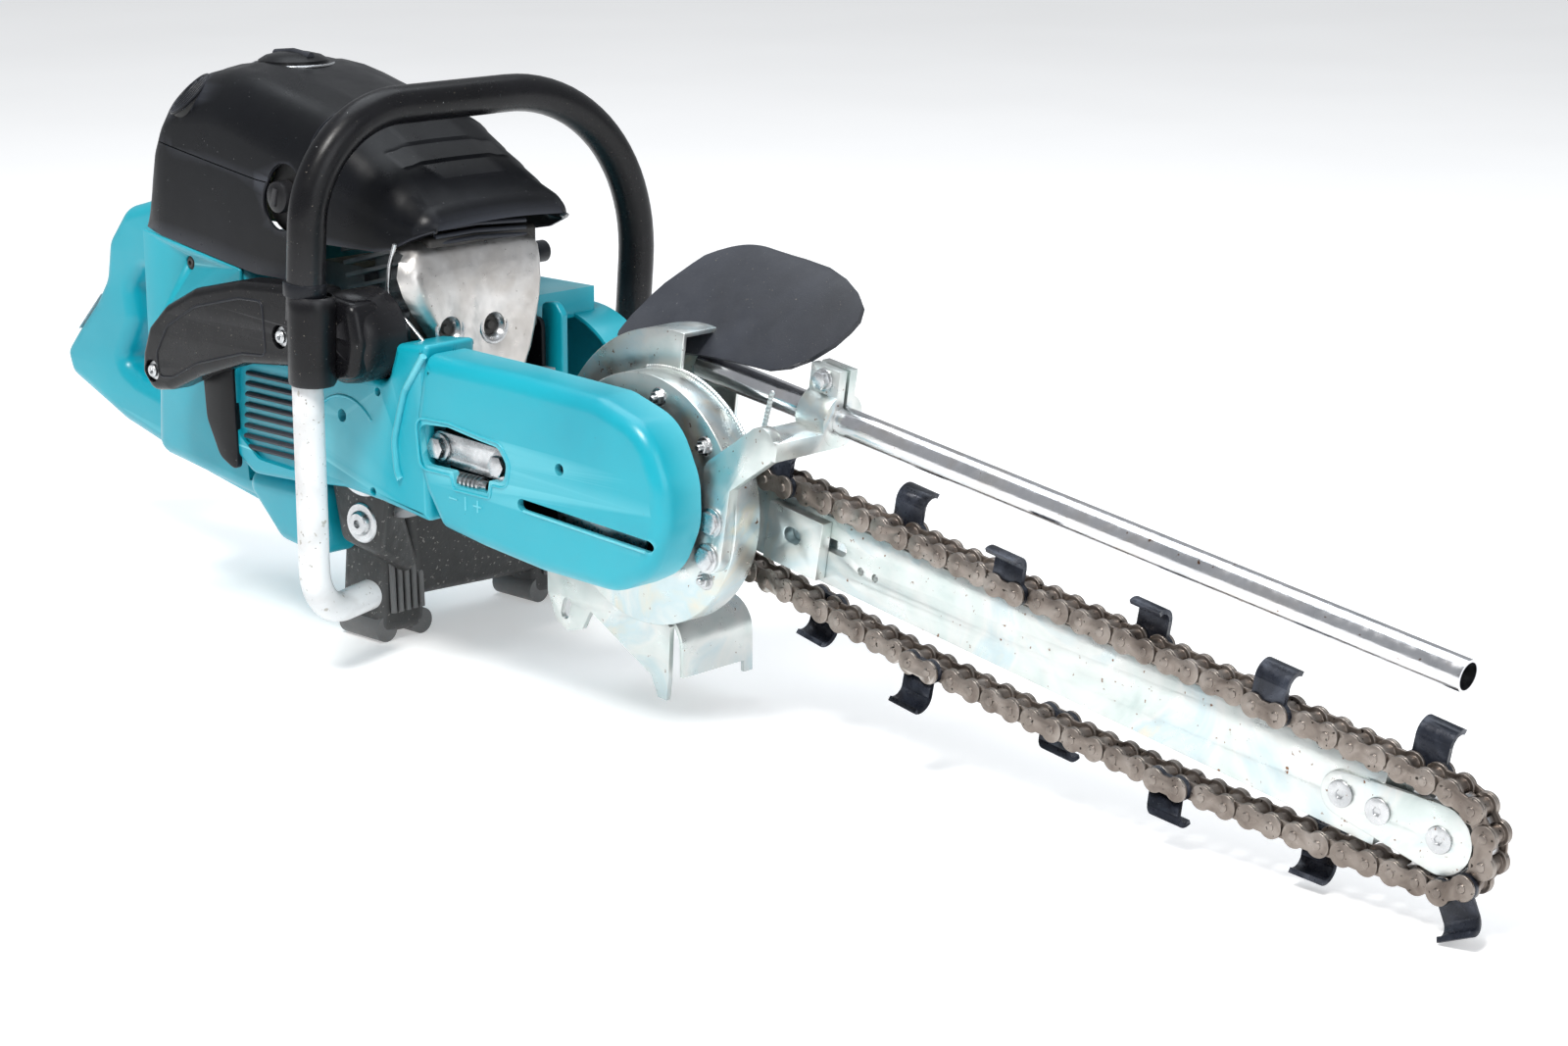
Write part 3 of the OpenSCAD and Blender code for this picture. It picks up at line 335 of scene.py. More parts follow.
FINISHES: dict[str, Finish] = {
    "teal_plastic": Finish(
        "teal_plastic",
        ((0.25, (0.000, 0.280, 0.375)), (0.55, (0.002, 0.355, 0.455)), (0.8, (0.006, 0.410, 0.510))),
        tint_scale=5.0, roughness=(0.30, 0.42), grain_scale=1500.0, grain_depth=0.00003,
        dents=(60.0, 0.00015), specks=(Specks((0.02, 0.10, 0.12), 420.0, 0.80, 0.02),),
        # The light cyan edge colour is a painted highlight on the rounded convex edges, not wear.
        edge_wear_and_highlight=EdgeWearAndHighlight((0.25, 0.72, 0.80), 0.53, 0.60, 0.5), coat=0.15,
    ),
    "black_plastic": Finish(
        "black_plastic",
        ((0.3, (0.003, 0.0033, 0.0042)), (0.6, (0.005, 0.0056, 0.0075)), (0.8, (0.009, 0.010, 0.0135))),
        tint_scale=7.0, roughness=(0.26, 0.40), specular=0.2, grain_scale=1700.0, grain_depth=0.00005,
        # The bluish edge colour is partly rubbed wear and partly a painted sheen.
        dents=(50.0, 0.0001), specks=(LIGHT_DUST,), edge_wear_and_highlight=EdgeWearAndHighlight((0.06, 0.065, 0.08), 0.53, 0.60, 0.7),
    ),
    "black_rubber": Finish(
        "black_rubber",
        ((0.3, (0.003, 0.003, 0.0036)), (0.7, (0.007, 0.007, 0.0085))),
        specular=0.24, roughness=(0.22, 0.38), grain_scale=1300.0, grain_depth=0.00005, dents=(120.0, 0.00012),
        specks=(DUST, LIGHT_DUST), edge_wear_and_highlight=EdgeWearAndHighlight((0.07, 0.07, 0.075), 0.53, 0.6, 0.6),
    ),
    "flap_rubber": Finish(
        "flap_rubber",
        ((0.3, (0.020, 0.022, 0.028)), (0.7, (0.036, 0.040, 0.052))),
        tint_scale=14.0, roughness=(0.42, 0.6), grain_scale=900.0, grain_depth=0.00008,
        dents=(30.0, 0.0004), specks=(DUST, LIGHT_DUST),
    ),
    "scuffed_foot": Finish(
        "scuffed_foot",
        ((0.3, (0.003, 0.003, 0.003)), (0.7, (0.010, 0.010, 0.010))),
        specular=0.3, tint_scale=20.0, roughness=(0.35, 0.6), grain_scale=500.0, grain_depth=0.0002,
        dents=(90.0, 0.0006),
        specks=(Specks((0.22, 0.21, 0.19), 330.0, 0.66, 0.02), DUST), edge_wear_and_highlight=EdgeWearAndHighlight((0.16, 0.16, 0.16), 0.52, 0.57, 0.9),
    ),
    "zinc_plate": Finish(
        "zinc_plate",
        (
            (0.22, (0.46, 0.55, 0.53)), (0.38, (0.62, 0.68, 0.66)), (0.50, (0.70, 0.72, 0.70)),
            (0.60, (0.56, 0.66, 0.68)), (0.70, (0.68, 0.66, 0.58)), (0.82, (0.60, 0.58, 0.62)),
        ),
        tint_scale=13.0, tint_detail=5.0, tint_warp=1.6, roughness=(0.24, 0.46), metallic=0.92,
        grain_scale=700.0, grain_depth=0.00005, dents=(45.0, 0.0003),
        scratches=Scratches((0.08, 1.0, 1.0), 900.0, 0.00003), specks=(RUST,),
    ),
    "chrome_tube": Finish(
        "chrome_tube",
        ((0.3, (0.62, 0.63, 0.65)), (0.5, (0.76, 0.76, 0.78)), (0.75, (0.70, 0.66, 0.62))),
        tint_scale=30.0, roughness=(0.10, 0.24), metallic=1.0, grain_scale=1200.0, grain_depth=0.00002,
        scratches=Scratches((0.02, 1.0, 1.0), 600.0, 0.00006), specks=(RUST,),
    ),
    "chain_steel": Finish(
        "chain_steel",
        ((0.25, (0.13, 0.105, 0.090)), (0.5, (0.24, 0.205, 0.180)), (0.75, (0.36, 0.32, 0.29))),
        tint_scale=60.0, roughness=(0.26, 0.44), metallic=0.9, grain_scale=1500.0, grain_depth=0.00004,
        dents=(260.0, 0.00012), specks=(Specks((0.03, 0.025, 0.02), 300.0, 0.66, 0.05),),
        edge_wear_and_highlight=EdgeWearAndHighlight((0.62, 0.58, 0.54), 0.53, 0.60, 0.7),
    ),
    "cutter_steel": Finish(
        "cutter_steel",
        ((0.3, (0.008, 0.010, 0.016)), (0.5, (0.020, 0.024, 0.036)), (0.75, (0.07, 0.08, 0.105))),
        tint_scale=60.0, roughness=(0.22, 0.40), metallic=0.35, grain_scale=900.0, grain_depth=0.00006,
        dents=(200.0, 0.0002),
    ),
    "bright_steel": Finish(
        "bright_steel",
        ((0.3, (0.46, 0.47, 0.48)), (0.7, (0.66, 0.67, 0.68))),
        tint_scale=60.0, roughness=(0.22, 0.38), metallic=1.0, grain_scale=1500.0, grain_depth=0.00003,
        dents=(300.0, 0.0001), specks=(RUST,),
    ),
    "cast_alloy": Finish(
        "cast_alloy",
        ((0.3, (0.34, 0.35, 0.36)), (0.7, (0.50, 0.51, 0.52))),
        tint_scale=30.0, roughness=(0.45, 0.62), metallic=0.85, grain_scale=800.0, grain_depth=0.00025,
    ),
    "white_tube": Finish(
        "white_tube",
        ((0.3, (0.60, 0.60, 0.60)), (0.55, (0.74, 0.75, 0.76)), (0.8, (0.80, 0.81, 0.82))),
        tint_scale=30.0, roughness=(0.28, 0.45), grain_scale=600.0, grain_depth=0.0001, dents=(140.0, 0.0003),
        specks=(
            Specks((0.22, 0.20, 0.17), 420.0, 0.70, 0.02), Specks((0.42, 0.40, 0.36), 170.0, 0.66, 0.06),
        ),
        coat=0.2,
    ),
    "muffler_steel": Finish(
        "muffler_steel",
        ((0.25, (0.50, 0.47, 0.44)), (0.5, (0.62, 0.60, 0.58)), (0.75, (0.70, 0.69, 0.68))),
        tint_scale=22.0, tint_warp=1.2, roughness=(0.26, 0.46), metallic=0.95, grain_scale=1200.0,
        grain_depth=0.00004, dents=(70.0, 0.0004), scratches=Scratches((1.0, 0.06, 1.0), 900.0, 0.00004),
        specks=(Specks((0.16, 0.13, 0.11), 300.0, 0.72, 0.05),),
    ),
    "dark_metal": Finish(
        "dark_metal",
        ((0.3, (0.05, 0.048, 0.046)), (0.7, (0.11, 0.105, 0.10))),
        roughness=(0.5, 0.7), metallic=0.7, grain_scale=700.0, grain_depth=0.0002,
    ),
    "belt_rubber": Finish(
        "belt_rubber",
        ((0.3, (0.010, 0.010, 0.010)), (0.7, (0.025, 0.025, 0.025))),
        roughness=(0.5, 0.7), grain_scale=900.0, grain_depth=0.00008,
    ),
    "filter_foam": Finish(
        "filter_foam",
        ((0.3, (0.45, 0.38, 0.20)), (0.7, (0.62, 0.55, 0.34))),
        tint_scale=60.0, roughness=(0.8, 0.95), grain_scale=500.0, grain_depth=0.0008,
    ),
    # Matte black for the floors of recesses and vents and the belt guard's inside: the hood's own black in its vent and
    # button well, painted shade behind the clutch cover's louvres and inside the belt guard.
    "deep_black": Finish(
        "deep_black",
        ((0.3, (0.004, 0.004, 0.004)), (0.7, (0.008, 0.008, 0.008))),
        roughness=(0.5, 0.7), grain_scale=900.0, grain_depth=0.00005,
    ),
    "dark_teal": Finish(
        "dark_teal",
        ((0.3, (0.004, 0.060, 0.085)), (0.7, (0.008, 0.090, 0.120))),
        roughness=(0.4, 0.55), grain_scale=1200.0, grain_depth=0.00005, specks=(LIGHT_DUST,),
    ),
    "label_white": Finish(
        "label_white",
        ((0.3, (0.62, 0.64, 0.65)), (0.7, (0.72, 0.74, 0.75))),
        roughness=(0.25, 0.4), grain_scale=600.0, grain_depth=0.00005,
    ),
}


class Paint:
    """Builds each finish once and puts it on pieces."""

    def __init__(self) -> None:
        """Start with no material built."""
        self.built: dict[str, bpy.types.Material] = {}

    def material(self, name: str) -> bpy.types.Material:
        """The material of a finish.

        Args:
            name: key in FINISHES.

        Returns:
            The material, built at its first use.
        """
        if name not in self.built:
            self.built[name] = FINISHES[name].build()
        return self.built[name]

    def coat(self, piece: bpy.types.Object, name: str) -> None:
        """Give a piece one finish.

        Args:
            piece: the object to dress.
            name: key in FINISHES.
        """
        piece.data.materials.clear()
        piece.data.materials.append(self.material(name))


PAINT = Paint()


# ---------------------------------------------------------------- mesh tools


def link_mesh(name: str, mesh: bpy.types.Mesh) -> bpy.types.Object:
    """Put a mesh into the scene as an object at the origin."""
    piece = bpy.data.objects.new(name, mesh)
    bpy.context.scene.collection.objects.link(piece)
    return piece


def from_bmesh(name: str, bm: bmesh.types.BMesh) -> bpy.types.Object:
    """Turn a bmesh into an object and free it."""
    mesh = bpy.data.meshes.new(name)
    bm.to_mesh(mesh)
    bm.free()
    return link_mesh(name, mesh)


def applied(piece: bpy.types.Object) -> bpy.types.Object:
    """Replace a piece by a plain mesh of its evaluated shape, in world space.

    Args:
        piece: object with modifiers, or a curve.

    Returns:
        A new mesh object with the same name, at the origin.
    """
    bpy.context.view_layer.update()
    graph = bpy.context.evaluated_depsgraph_get()
    mesh = bpy.data.meshes.new_from_object(piece.evaluated_get(graph), depsgraph=graph)
    mesh.transform(piece.matrix_world)
    name = piece.name
    data = piece.data
    bpy.data.objects.remove(piece)
    if data.users == 0:
        bpy.data.batch_remove([data])
    mesh.name = name
    return link_mesh(name, mesh)


def smooth(piece: bpy.types.Object, angle: float = 32.0) -> bpy.types.Object:
    """Shade a piece smooth, with its edges over an angle kept sharp."""
    piece.data.shade_smooth()
    piece.data.set_sharp_from_angle(angle=math.radians(angle))
    return piece


def bevelled(piece: bpy.types.Object, width: float, segments: int = 3, angle: float = 32.0) -> bpy.types.Object:
    """Round the sharp edges of a piece.

    Args:
        piece: the object to round.
        width: bevel width in millimetres.
        segments: number of bevel segments.
        angle: edges sharper than this, in degrees, are rounded.

    Returns:
        The rounded piece, with its modifier applied.
    """
    modifier = piece.modifiers.new("round", "BEVEL")
    modifier.width = width * MM
    modifier.segments = segments
    modifier.limit_method = "ANGLE"
    modifier.angle_limit = math.radians(angle)
    modifier.use_clamp_overlap = True
    modifier.harden_normals = False
    return smooth(applied(piece), 40.0)


def cut(piece: bpy.types.Object, *tools: bpy.types.Object, keep: bool = False) -> bpy.types.Object:
    """Subtract tools from a piece.

    Args:
        piece: the object to cut.
        tools: closed objects to take away, removed afterwards.
        keep: True leaves the tools in the scene.

    Returns:
        The cut piece.
    """
    for tool in tools:
        modifier = piece.modifiers.new("cut", "BOOLEAN")
        modifier.operation = "DIFFERENCE"
        modifier.solver = "EXACT"
        modifier.object = tool
    piece = applied(piece)
    if not keep:
        for tool in tools:
            bpy.data.objects.remove(tool)
    return piece


def joined(name: str, pieces: Iterable[bpy.types.Object]) -> bpy.types.Object:
    """Merge several mesh objects into one, with their materials.

    Args:
        name: name of the merged object.
        pieces: mesh objects at the origin.

    Returns:
        The merged object.
    """
    materials: list[bpy.types.Material] = []
    bm = bmesh.new()
    for piece in pieces:
        start = len(bm.faces)
        bm.from_mesh(piece.data)
        bm.faces.ensure_lookup_table()
        own = list(piece.data.materials)
        for material in own:
            if material not in materials:
                materials.append(material)
        for index in range(start, len(bm.faces)):
            face = bm.faces[index]
            if own:
                face.material_index = materials.index(own[min(face.material_index, len(own) - 1)])
    for piece in list(pieces):
        bpy.data.objects.remove(piece)
    merged = from_bmesh(name, bm)
    for material in materials:
        merged.data.materials.append(material)
    return merged


def fillet(points: Sequence[Sequence[float]], segments: int = 6) -> list[Flat]:
    """Round the corners of a flat outline.

    Args:
        points: corners as (x, z) or (x, z, radius).
        segments: steps in each rounded corner.

    Returns:
        The rounded outline's points.
    """
    outline: list[Flat] = []
    count = len(points)
    for index, corner in enumerate(points):
        here = Vector((corner[0], corner[1]))
        radius = corner[2] if len(corner) > 2 else 0.0
        before = Vector(points[index - 1][:2]) - here
        after = Vector(points[(index + 1) % count][:2]) - here
        if radius <= 0.0:
            outline.append((here.x, here.y))
            continue
        angle = before.angle(after)
        reach = min(radius / math.tan(angle / 2.0), before.length * 0.48, after.length * 0.48)
        first = here + before.normalized() * reach
        last = here + after.normalized() * reach
        for step in range(segments + 1):
            share = step / segments
            point = first * (1 - share) ** 2 + here * 2 * share * (1 - share) + last * share**2
            outline.append((point.x, point.y))
    return outline


def circle(x: float, z: float, radius: float, segments: int = 48) -> list[Flat]:
    """A round outline."""
    turn = 2.0 * math.pi / segments
    return [(x + radius * math.cos(i * turn), z + radius * math.sin(i * turn)) for i in range(segments)]


def slot(a: Flat, b: Flat, radius: float, segments: int = 16) -> list[Flat]:
    """An outline with round ends between two points."""
    lean = math.atan2(b[1] - a[1], b[0] - a[0])
    points: list[Flat] = []
    for centre, start in ((b, lean - math.pi / 2), (a, lean + math.pi / 2)):
        for step in range(segments + 1):
            angle = start + math.pi * step / segments
            points.append((centre[0] + radius * math.cos(angle), centre[1] + radius * math.sin(angle)))
    return points


DOUBLES = 1e-6


def outward(piece: bpy.types.Object, merge: float = 0.0) -> bpy.types.Object:
    """Point a closed piece's faces outwards.

    Args:
        piece: the mesh object.
        merge: points closer than this, in metres, are made one first. 0 merges none.

    Returns:
        The same piece.
    """
    bm = bmesh.new()
    bm.from_mesh(piece.data)
    if merge:
        bmesh.ops.remove_doubles(bm, verts=bm.verts, dist=merge)
    bmesh.ops.recalc_face_normals(bm, faces=bm.faces)
    bm.to_mesh(piece.data)
    bm.free()
    return piece


def plate(
    name: str,
    outline: Sequence[Flat],
    y0: float,
    y1: float,
    holes: Sequence[Sequence[Flat]] = (),
    edge: float = 0.6,
    steps: int = 2,
) -> bpy.types.Object:
    """Extrude an outline drawn in X and Z along Y, with rounded edges.

    Args:
        name: name of the piece.
        outline: outer outline in millimetres.
        y0: low face in millimetres.
        y1: high face in millimetres.
        holes: outlines of the holes.
        edge: edge radius in millimetres.
        steps: bevel steps of the edge.

    Returns:
        The plate as a mesh object.
    """
    curve = bpy.data.curves.new(name, "CURVE")
    curve.dimensions = "2D"
    curve.fill_mode = "BOTH"
    for loop in (outline, *holes):
        spline = curve.splines.new("POLY")
        spline.points.add(len(loop) - 1)
        for point, (x, z) in zip(spline.points, loop):
            point.co = (x * MM, z * MM, 0.0, 1.0)
        spline.use_cyclic_u = True
    curve.extrude = ((y1 - y0) / 2 - edge) * MM
    curve.bevel_depth = edge * MM
    curve.bevel_resolution = steps
    curve.offset = -edge * MM
    piece = bpy.data.objects.new(name, curve)
    bpy.context.scene.collection.objects.link(piece)
    middle = (y0 + y1) / 2 * MM
    piece.matrix_world = Matrix(((1, 0, 0, 0), (0, 0, -1, middle), (0, 1, 0, 0), (0, 0, 0, 1)))
    piece = applied(piece)
    return smooth(outward(piece, DOUBLES), 38.0)


def lathe(
    name: str, profile: Sequence[Flat], centre: Flat, segments: int = 96, closed: bool = True
) -> bpy.types.Object:
    """Turn a profile about an axis along Y.

    Args:
        name: name of the piece.
        profile: points as (radius, y) in millimetres.
        centre: x and z of the axis in millimetres.
        segments: steps round the axis.
        closed: True joins the profile's last point to its first.

    Returns:
        The turned piece.
    """
    bm = bmesh.new()
    rings: list[list[bmesh.types.BMVert]] = []
    for radius, y in profile:
        if radius < 1e-6:
            rings.append([bm.verts.new((centre[0] * MM, y * MM, centre[1] * MM))])
            continue
        ring = []
        for i in range(segments):
            angle = 2 * math.pi * i / segments
            x = centre[0] + radius * math.cos(angle)
            z = centre[1] + radius * math.sin(angle)
            ring.append(bm.verts.new((x * MM, y * MM, z * MM)))
        rings.append(ring)
    pairs = list(zip(rings, rings[1:]))
    if closed and len(rings[0]) > 1 and len(rings[-1]) > 1:
        pairs.append((rings[-1], rings[0]))
    for first, second in pairs:
        for i in range(segments):
            j = (i + 1) % segments
            corners = [first[i % len(first)], first[j % len(first)], second[j % len(second)], second[i % len(second)]]
            unique = list(dict.fromkeys(corners))
            if len(unique) > 2:
                bm.faces.new(unique)
    bmesh.ops.recalc_face_normals(bm, faces=bm.faces)
    return smooth(from_bmesh(name, bm), 35.0)


def bent_path(points: Sequence[Sequence[float]], segments: int = 14) -> list[Vector]:
    """Round the corners of a path in space.

    Args:
        points: corners as (x, y, z) or (x, y, z, radius).
        segments: steps in each bend.

    Returns:
        The points of the rounded path.
    """
    path: list[Vector] = []
    for index, corner in enumerate(points):
        here = Vector(corner[:3])
        radius = corner[3] if len(corner) > 3 else 0.0
        if radius <= 0.0 or index in (0, len(points) - 1):
            path.append(here)
            continue
        before = (Vector(points[index - 1][:3]) - here).normalized()
        after = (Vector(points[index + 1][:3]) - here).normalized()
        half = before.angle(after) / 2.0
        reach = radius / math.tan(half)
        centre = here + (before + after).normalized() * (radius / math.sin(half))
        first = here + before * reach - centre
        last = here + after * reach - centre
        turn = first.angle(last)
        for step in range(segments + 1):
            share = step / segments
            point = first * math.sin((1 - share) * turn) + last * math.sin(share * turn)
            path.append(centre + point / math.sin(turn))
    return path


def tube(
    name: str, path: Sequence[Vector], radius: float | Callable[[float], float], sides: int = 40, squash: float = 1.0
) -> bpy.types.Object:
    """Sweep a round section along a path, with closed ends.

    Args:
        name: name of the piece.
        path: points in millimetres.
        radius: radius in millimetres, or a function of the share of the path.
        sides: steps round the section.
        squash: factor on the section's first axis.

    Returns:
        The tube.
    """
    bm = bmesh.new()
    rings: list[list[bmesh.types.BMVert]] = []
    side = Vector((0, 1, 0))
    count = len(path)
    lengths = [0.0]
    for a, b in zip(path, path[1:]):
        lengths.append(lengths[-1] + (b - a).length)
    for index, point in enumerate(path):
        ahead = path[min(index + 1, count - 1)] - path[max(index - 1, 0)]
        ahead.normalize()
        if abs(ahead.dot(side)) > 0.95:
            side = Vector((1, 0, 0))
        side = (side - ahead * ahead.dot(side)).normalized()
        up = ahead.cross(side)
        r = radius(lengths[index] / lengths[-1]) if callable(radius) else radius
        ring = []
        for i in range(sides):
            angle = 2 * math.pi * i / sides
            place = point + side * (math.cos(angle) * r * squash) + up * (math.sin(angle) * r)
            ring.append(bm.verts.new(place * MM))
        rings.append(ring)
    for first, second in zip(rings, rings[1:]):
        for i in range(sides):
            j = (i + 1) % sides
            bm.faces.new((first[i], first[j], second[j], second[i]))
    bm.faces.new(rings[0])
    bm.faces.new(rings[-1])
    bmesh.ops.recalc_face_normals(bm, faces=bm.faces)
    return smooth(from_bmesh(name, bm), 50.0)


def hull_of_balls(name: str, balls: Sequence[Sequence[float]], sides: int = 40) -> bpy.types.Object:
    """Wrap a smooth skin round balls.

    Args:
        name: name of the piece.
        balls: (x, y, z, radius) of each ball in millimetres.
        sides: steps round each ball.

    Returns:
        The convex skin.
    """
    bm = bmesh.new()
    for x, y, z, radius in balls:
        place = Matrix.Translation((x * MM, y * MM, z * MM))
        bmesh.ops.create_uvsphere(bm, u_segments=sides, v_segments=sides // 2, radius=radius * MM, matrix=place)
    result = bmesh.ops.convex_hull(bm, input=bm.verts)
    inner = [item for item in result["geom_interior"] if isinstance(item, bmesh.types.BMVert)]
    bmesh.ops.delete(bm, geom=inner, context="VERTS")
    old = [face for face in bm.faces if face not in set(result["geom"])]
    bmesh.ops.delete(bm, geom=old, context="FACES_ONLY")
    loose = [vert for vert in bm.verts if not vert.link_faces]
    bmesh.ops.delete(bm, geom=loose, context="VERTS")
    wires = [edge for edge in bm.edges if not edge.link_faces]
    bmesh.ops.delete(bm, geom=wires, context="EDGES")
    bmesh.ops.recalc_face_normals(bm, faces=bm.faces)
    return smooth(from_bmesh(name, bm), 30.0)


def block(name: str, low: Point, high: Point) -> bpy.types.Object:
    """A box between two corners in millimetres, as a cutting tool or a blank."""
    bm = bmesh.new()
    size = [(b - a) * MM for a, b in zip(low, high)]
    middle = [(a + b) / 2 * MM for a, b in zip(low, high)]
    matrix = Matrix.Translation(middle) @ Matrix.Diagonal((*size, 1.0))
    bmesh.ops.create_cube(bm, size=1.0, matrix=matrix)
    return from_bmesh(name, bm)


def rounded_copy(node: str, width: float, segments: int = 2, angle: float = 34.0) -> bpy.types.Object:
    """A copy of a CAD node with its sharp edges rounded.

    Args:
        node: name of the node.
        width: edge width in millimetres.
        segments: bevel segments.
        angle: edges sharper than this are rounded.

    Returns:
        The rounded copy.
    """
    bm = bmesh.new()
    bm.from_mesh(frame["nodes"][node].data)
    bmesh.ops.remove_doubles(bm, verts=bm.verts, dist=2e-6)
    bmesh.ops.dissolve_limit(bm, angle_limit=math.radians(0.4), verts=bm.verts, edges=bm.edges)
    return bevelled(from_bmesh(f"{node}_rounded", bm), width, segments, angle)


REPLACED: dict[str, tuple[str, ...]] = {}


def put(
    piece: bpy.types.Object, body: Body | str, finish: str | None = None, slot_name: str | None = None, *nodes: str
) -> bpy.types.Object:
    """Finish a piece: its body, its look and the CAD nodes that it stands for.

    Args:
        piece: the mesh object.
        body: the CAD body that it rides on.
        finish: key in FINISHES, or None where the piece is dressed already.
        slot_name: not used.
        nodes: CAD nodes that the piece replaces.

    Returns:
        The same piece.
    """
    if finish:
        PAINT.coat(piece, finish)
    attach(piece, body.value if isinstance(body, Body) else body)
    if nodes:
        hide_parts(*nodes)
        REPLACED[piece.name] = nodes
    log.info("piece %s: %d faces", piece.name, len(piece.data.polygons))
    return piece


# ---------------------------------------------------------------- more mesh tools


def skin(name: str, rows: Sequence[Sequence[Point]], thick: float, sharp: float = 28.0) -> bpy.types.Object:
    """A shell over a grid of points.

    Args:
        name: name of the piece.
        rows: rows of points in millimetres, all with the same count.
        thick: thickness in millimetres, added on the inner side.
        sharp: edges over this angle, in degrees, are shaded sharp.

    Returns:
        The closed shell.
    """
    bm = bmesh.new()
    grid = [[bm.verts.new(Vector(point) * MM) for point in row] for row in rows]
    for first, second in zip(grid, grid[1:]):
        for i in range(len(first) - 1):
            bm.faces.new((first[i], first[i + 1], second[i + 1], second[i]))
    bmesh.ops.recalc_face_normals(bm, faces=bm.faces)
    piece = from_bmesh(name, bm)
    modifier = piece.modifiers.new("thickness", "SOLIDIFY")
    modifier.thickness = thick * MM
    modifier.offset = 0.0
    modifier.use_even_offset = True
    piece = applied(piece)
    return smooth(outward(piece), sharp)


def wire(name: str, points: Sequence[Point], radius: float, closed: bool = True) -> bpy.types.Object:
    """A round bar along a path, such as a bead or a rim.

    Args:
        name: name of the piece.
        points: path in millimetres.
        radius: bar radius in millimetres.
        closed: True joins the last point to the first.

    Returns:
        The bar.
    """
    curve = bpy.data.curves.new(name, "CURVE")
    curve.dimensions = "3D"
    spline = curve.splines.new("POLY")
    spline.points.add(len(points) - 1)
    for point, place in zip(spline.points, points):
        point.co = (*(Vector(place) * MM), 1.0)
    spline.use_cyclic_u = closed
    curve.bevel_depth = radius * MM
    curve.bevel_resolution = 3
    curve.use_fill_caps = not closed
    piece = bpy.data.objects.new(name, curve)
    bpy.context.scene.collection.objects.link(piece)
    piece = applied(piece)
    return smooth(outward(piece, DOUBLES), 60.0)


def turned(name: str, profile: Sequence[Flat], at: Point, axis: Point = (0, 0, 1), segments: int = 64):
    """Turn a profile about any axis.

    Args:
        name: name of the piece.
        profile: points as (radius, height) in millimetres.
        at: foot of the axis in millimetres.
        axis: direction of the axis.
        segments: steps round the axis.

    Returns:
        The turned piece.
    """
    piece = lathe(name, profile, (0.0, 0.0), segments, closed=False)
    swing = Vector((0, 1, 0)).rotation_difference(Vector(axis)).to_matrix().to_4x4()
    piece.data.transform(Matrix.Translation(Vector(at) * MM) @ swing)
    return piece


def kept(piece: bpy.types.Object, tool: bpy.types.Object) -> bpy.types.Object:
    """Keep what a piece shares with a tool, which is removed."""
    modifier = piece.modifiers.new("keep", "BOOLEAN")
    modifier.operation = "INTERSECT"
    modifier.solver = "EXACT"
    modifier.object = tool
    piece = applied(piece)
    bpy.data.objects.remove(tool)
    return piece


# ---------------------------------------------------------------- repeated details


@dataclass(frozen=True)
class Spot:
    """Place of one repeated detail: a point in millimetres and the direction of its axis."""

    at: Point
    axis: Point = (0.0, -1.0, 0.0)


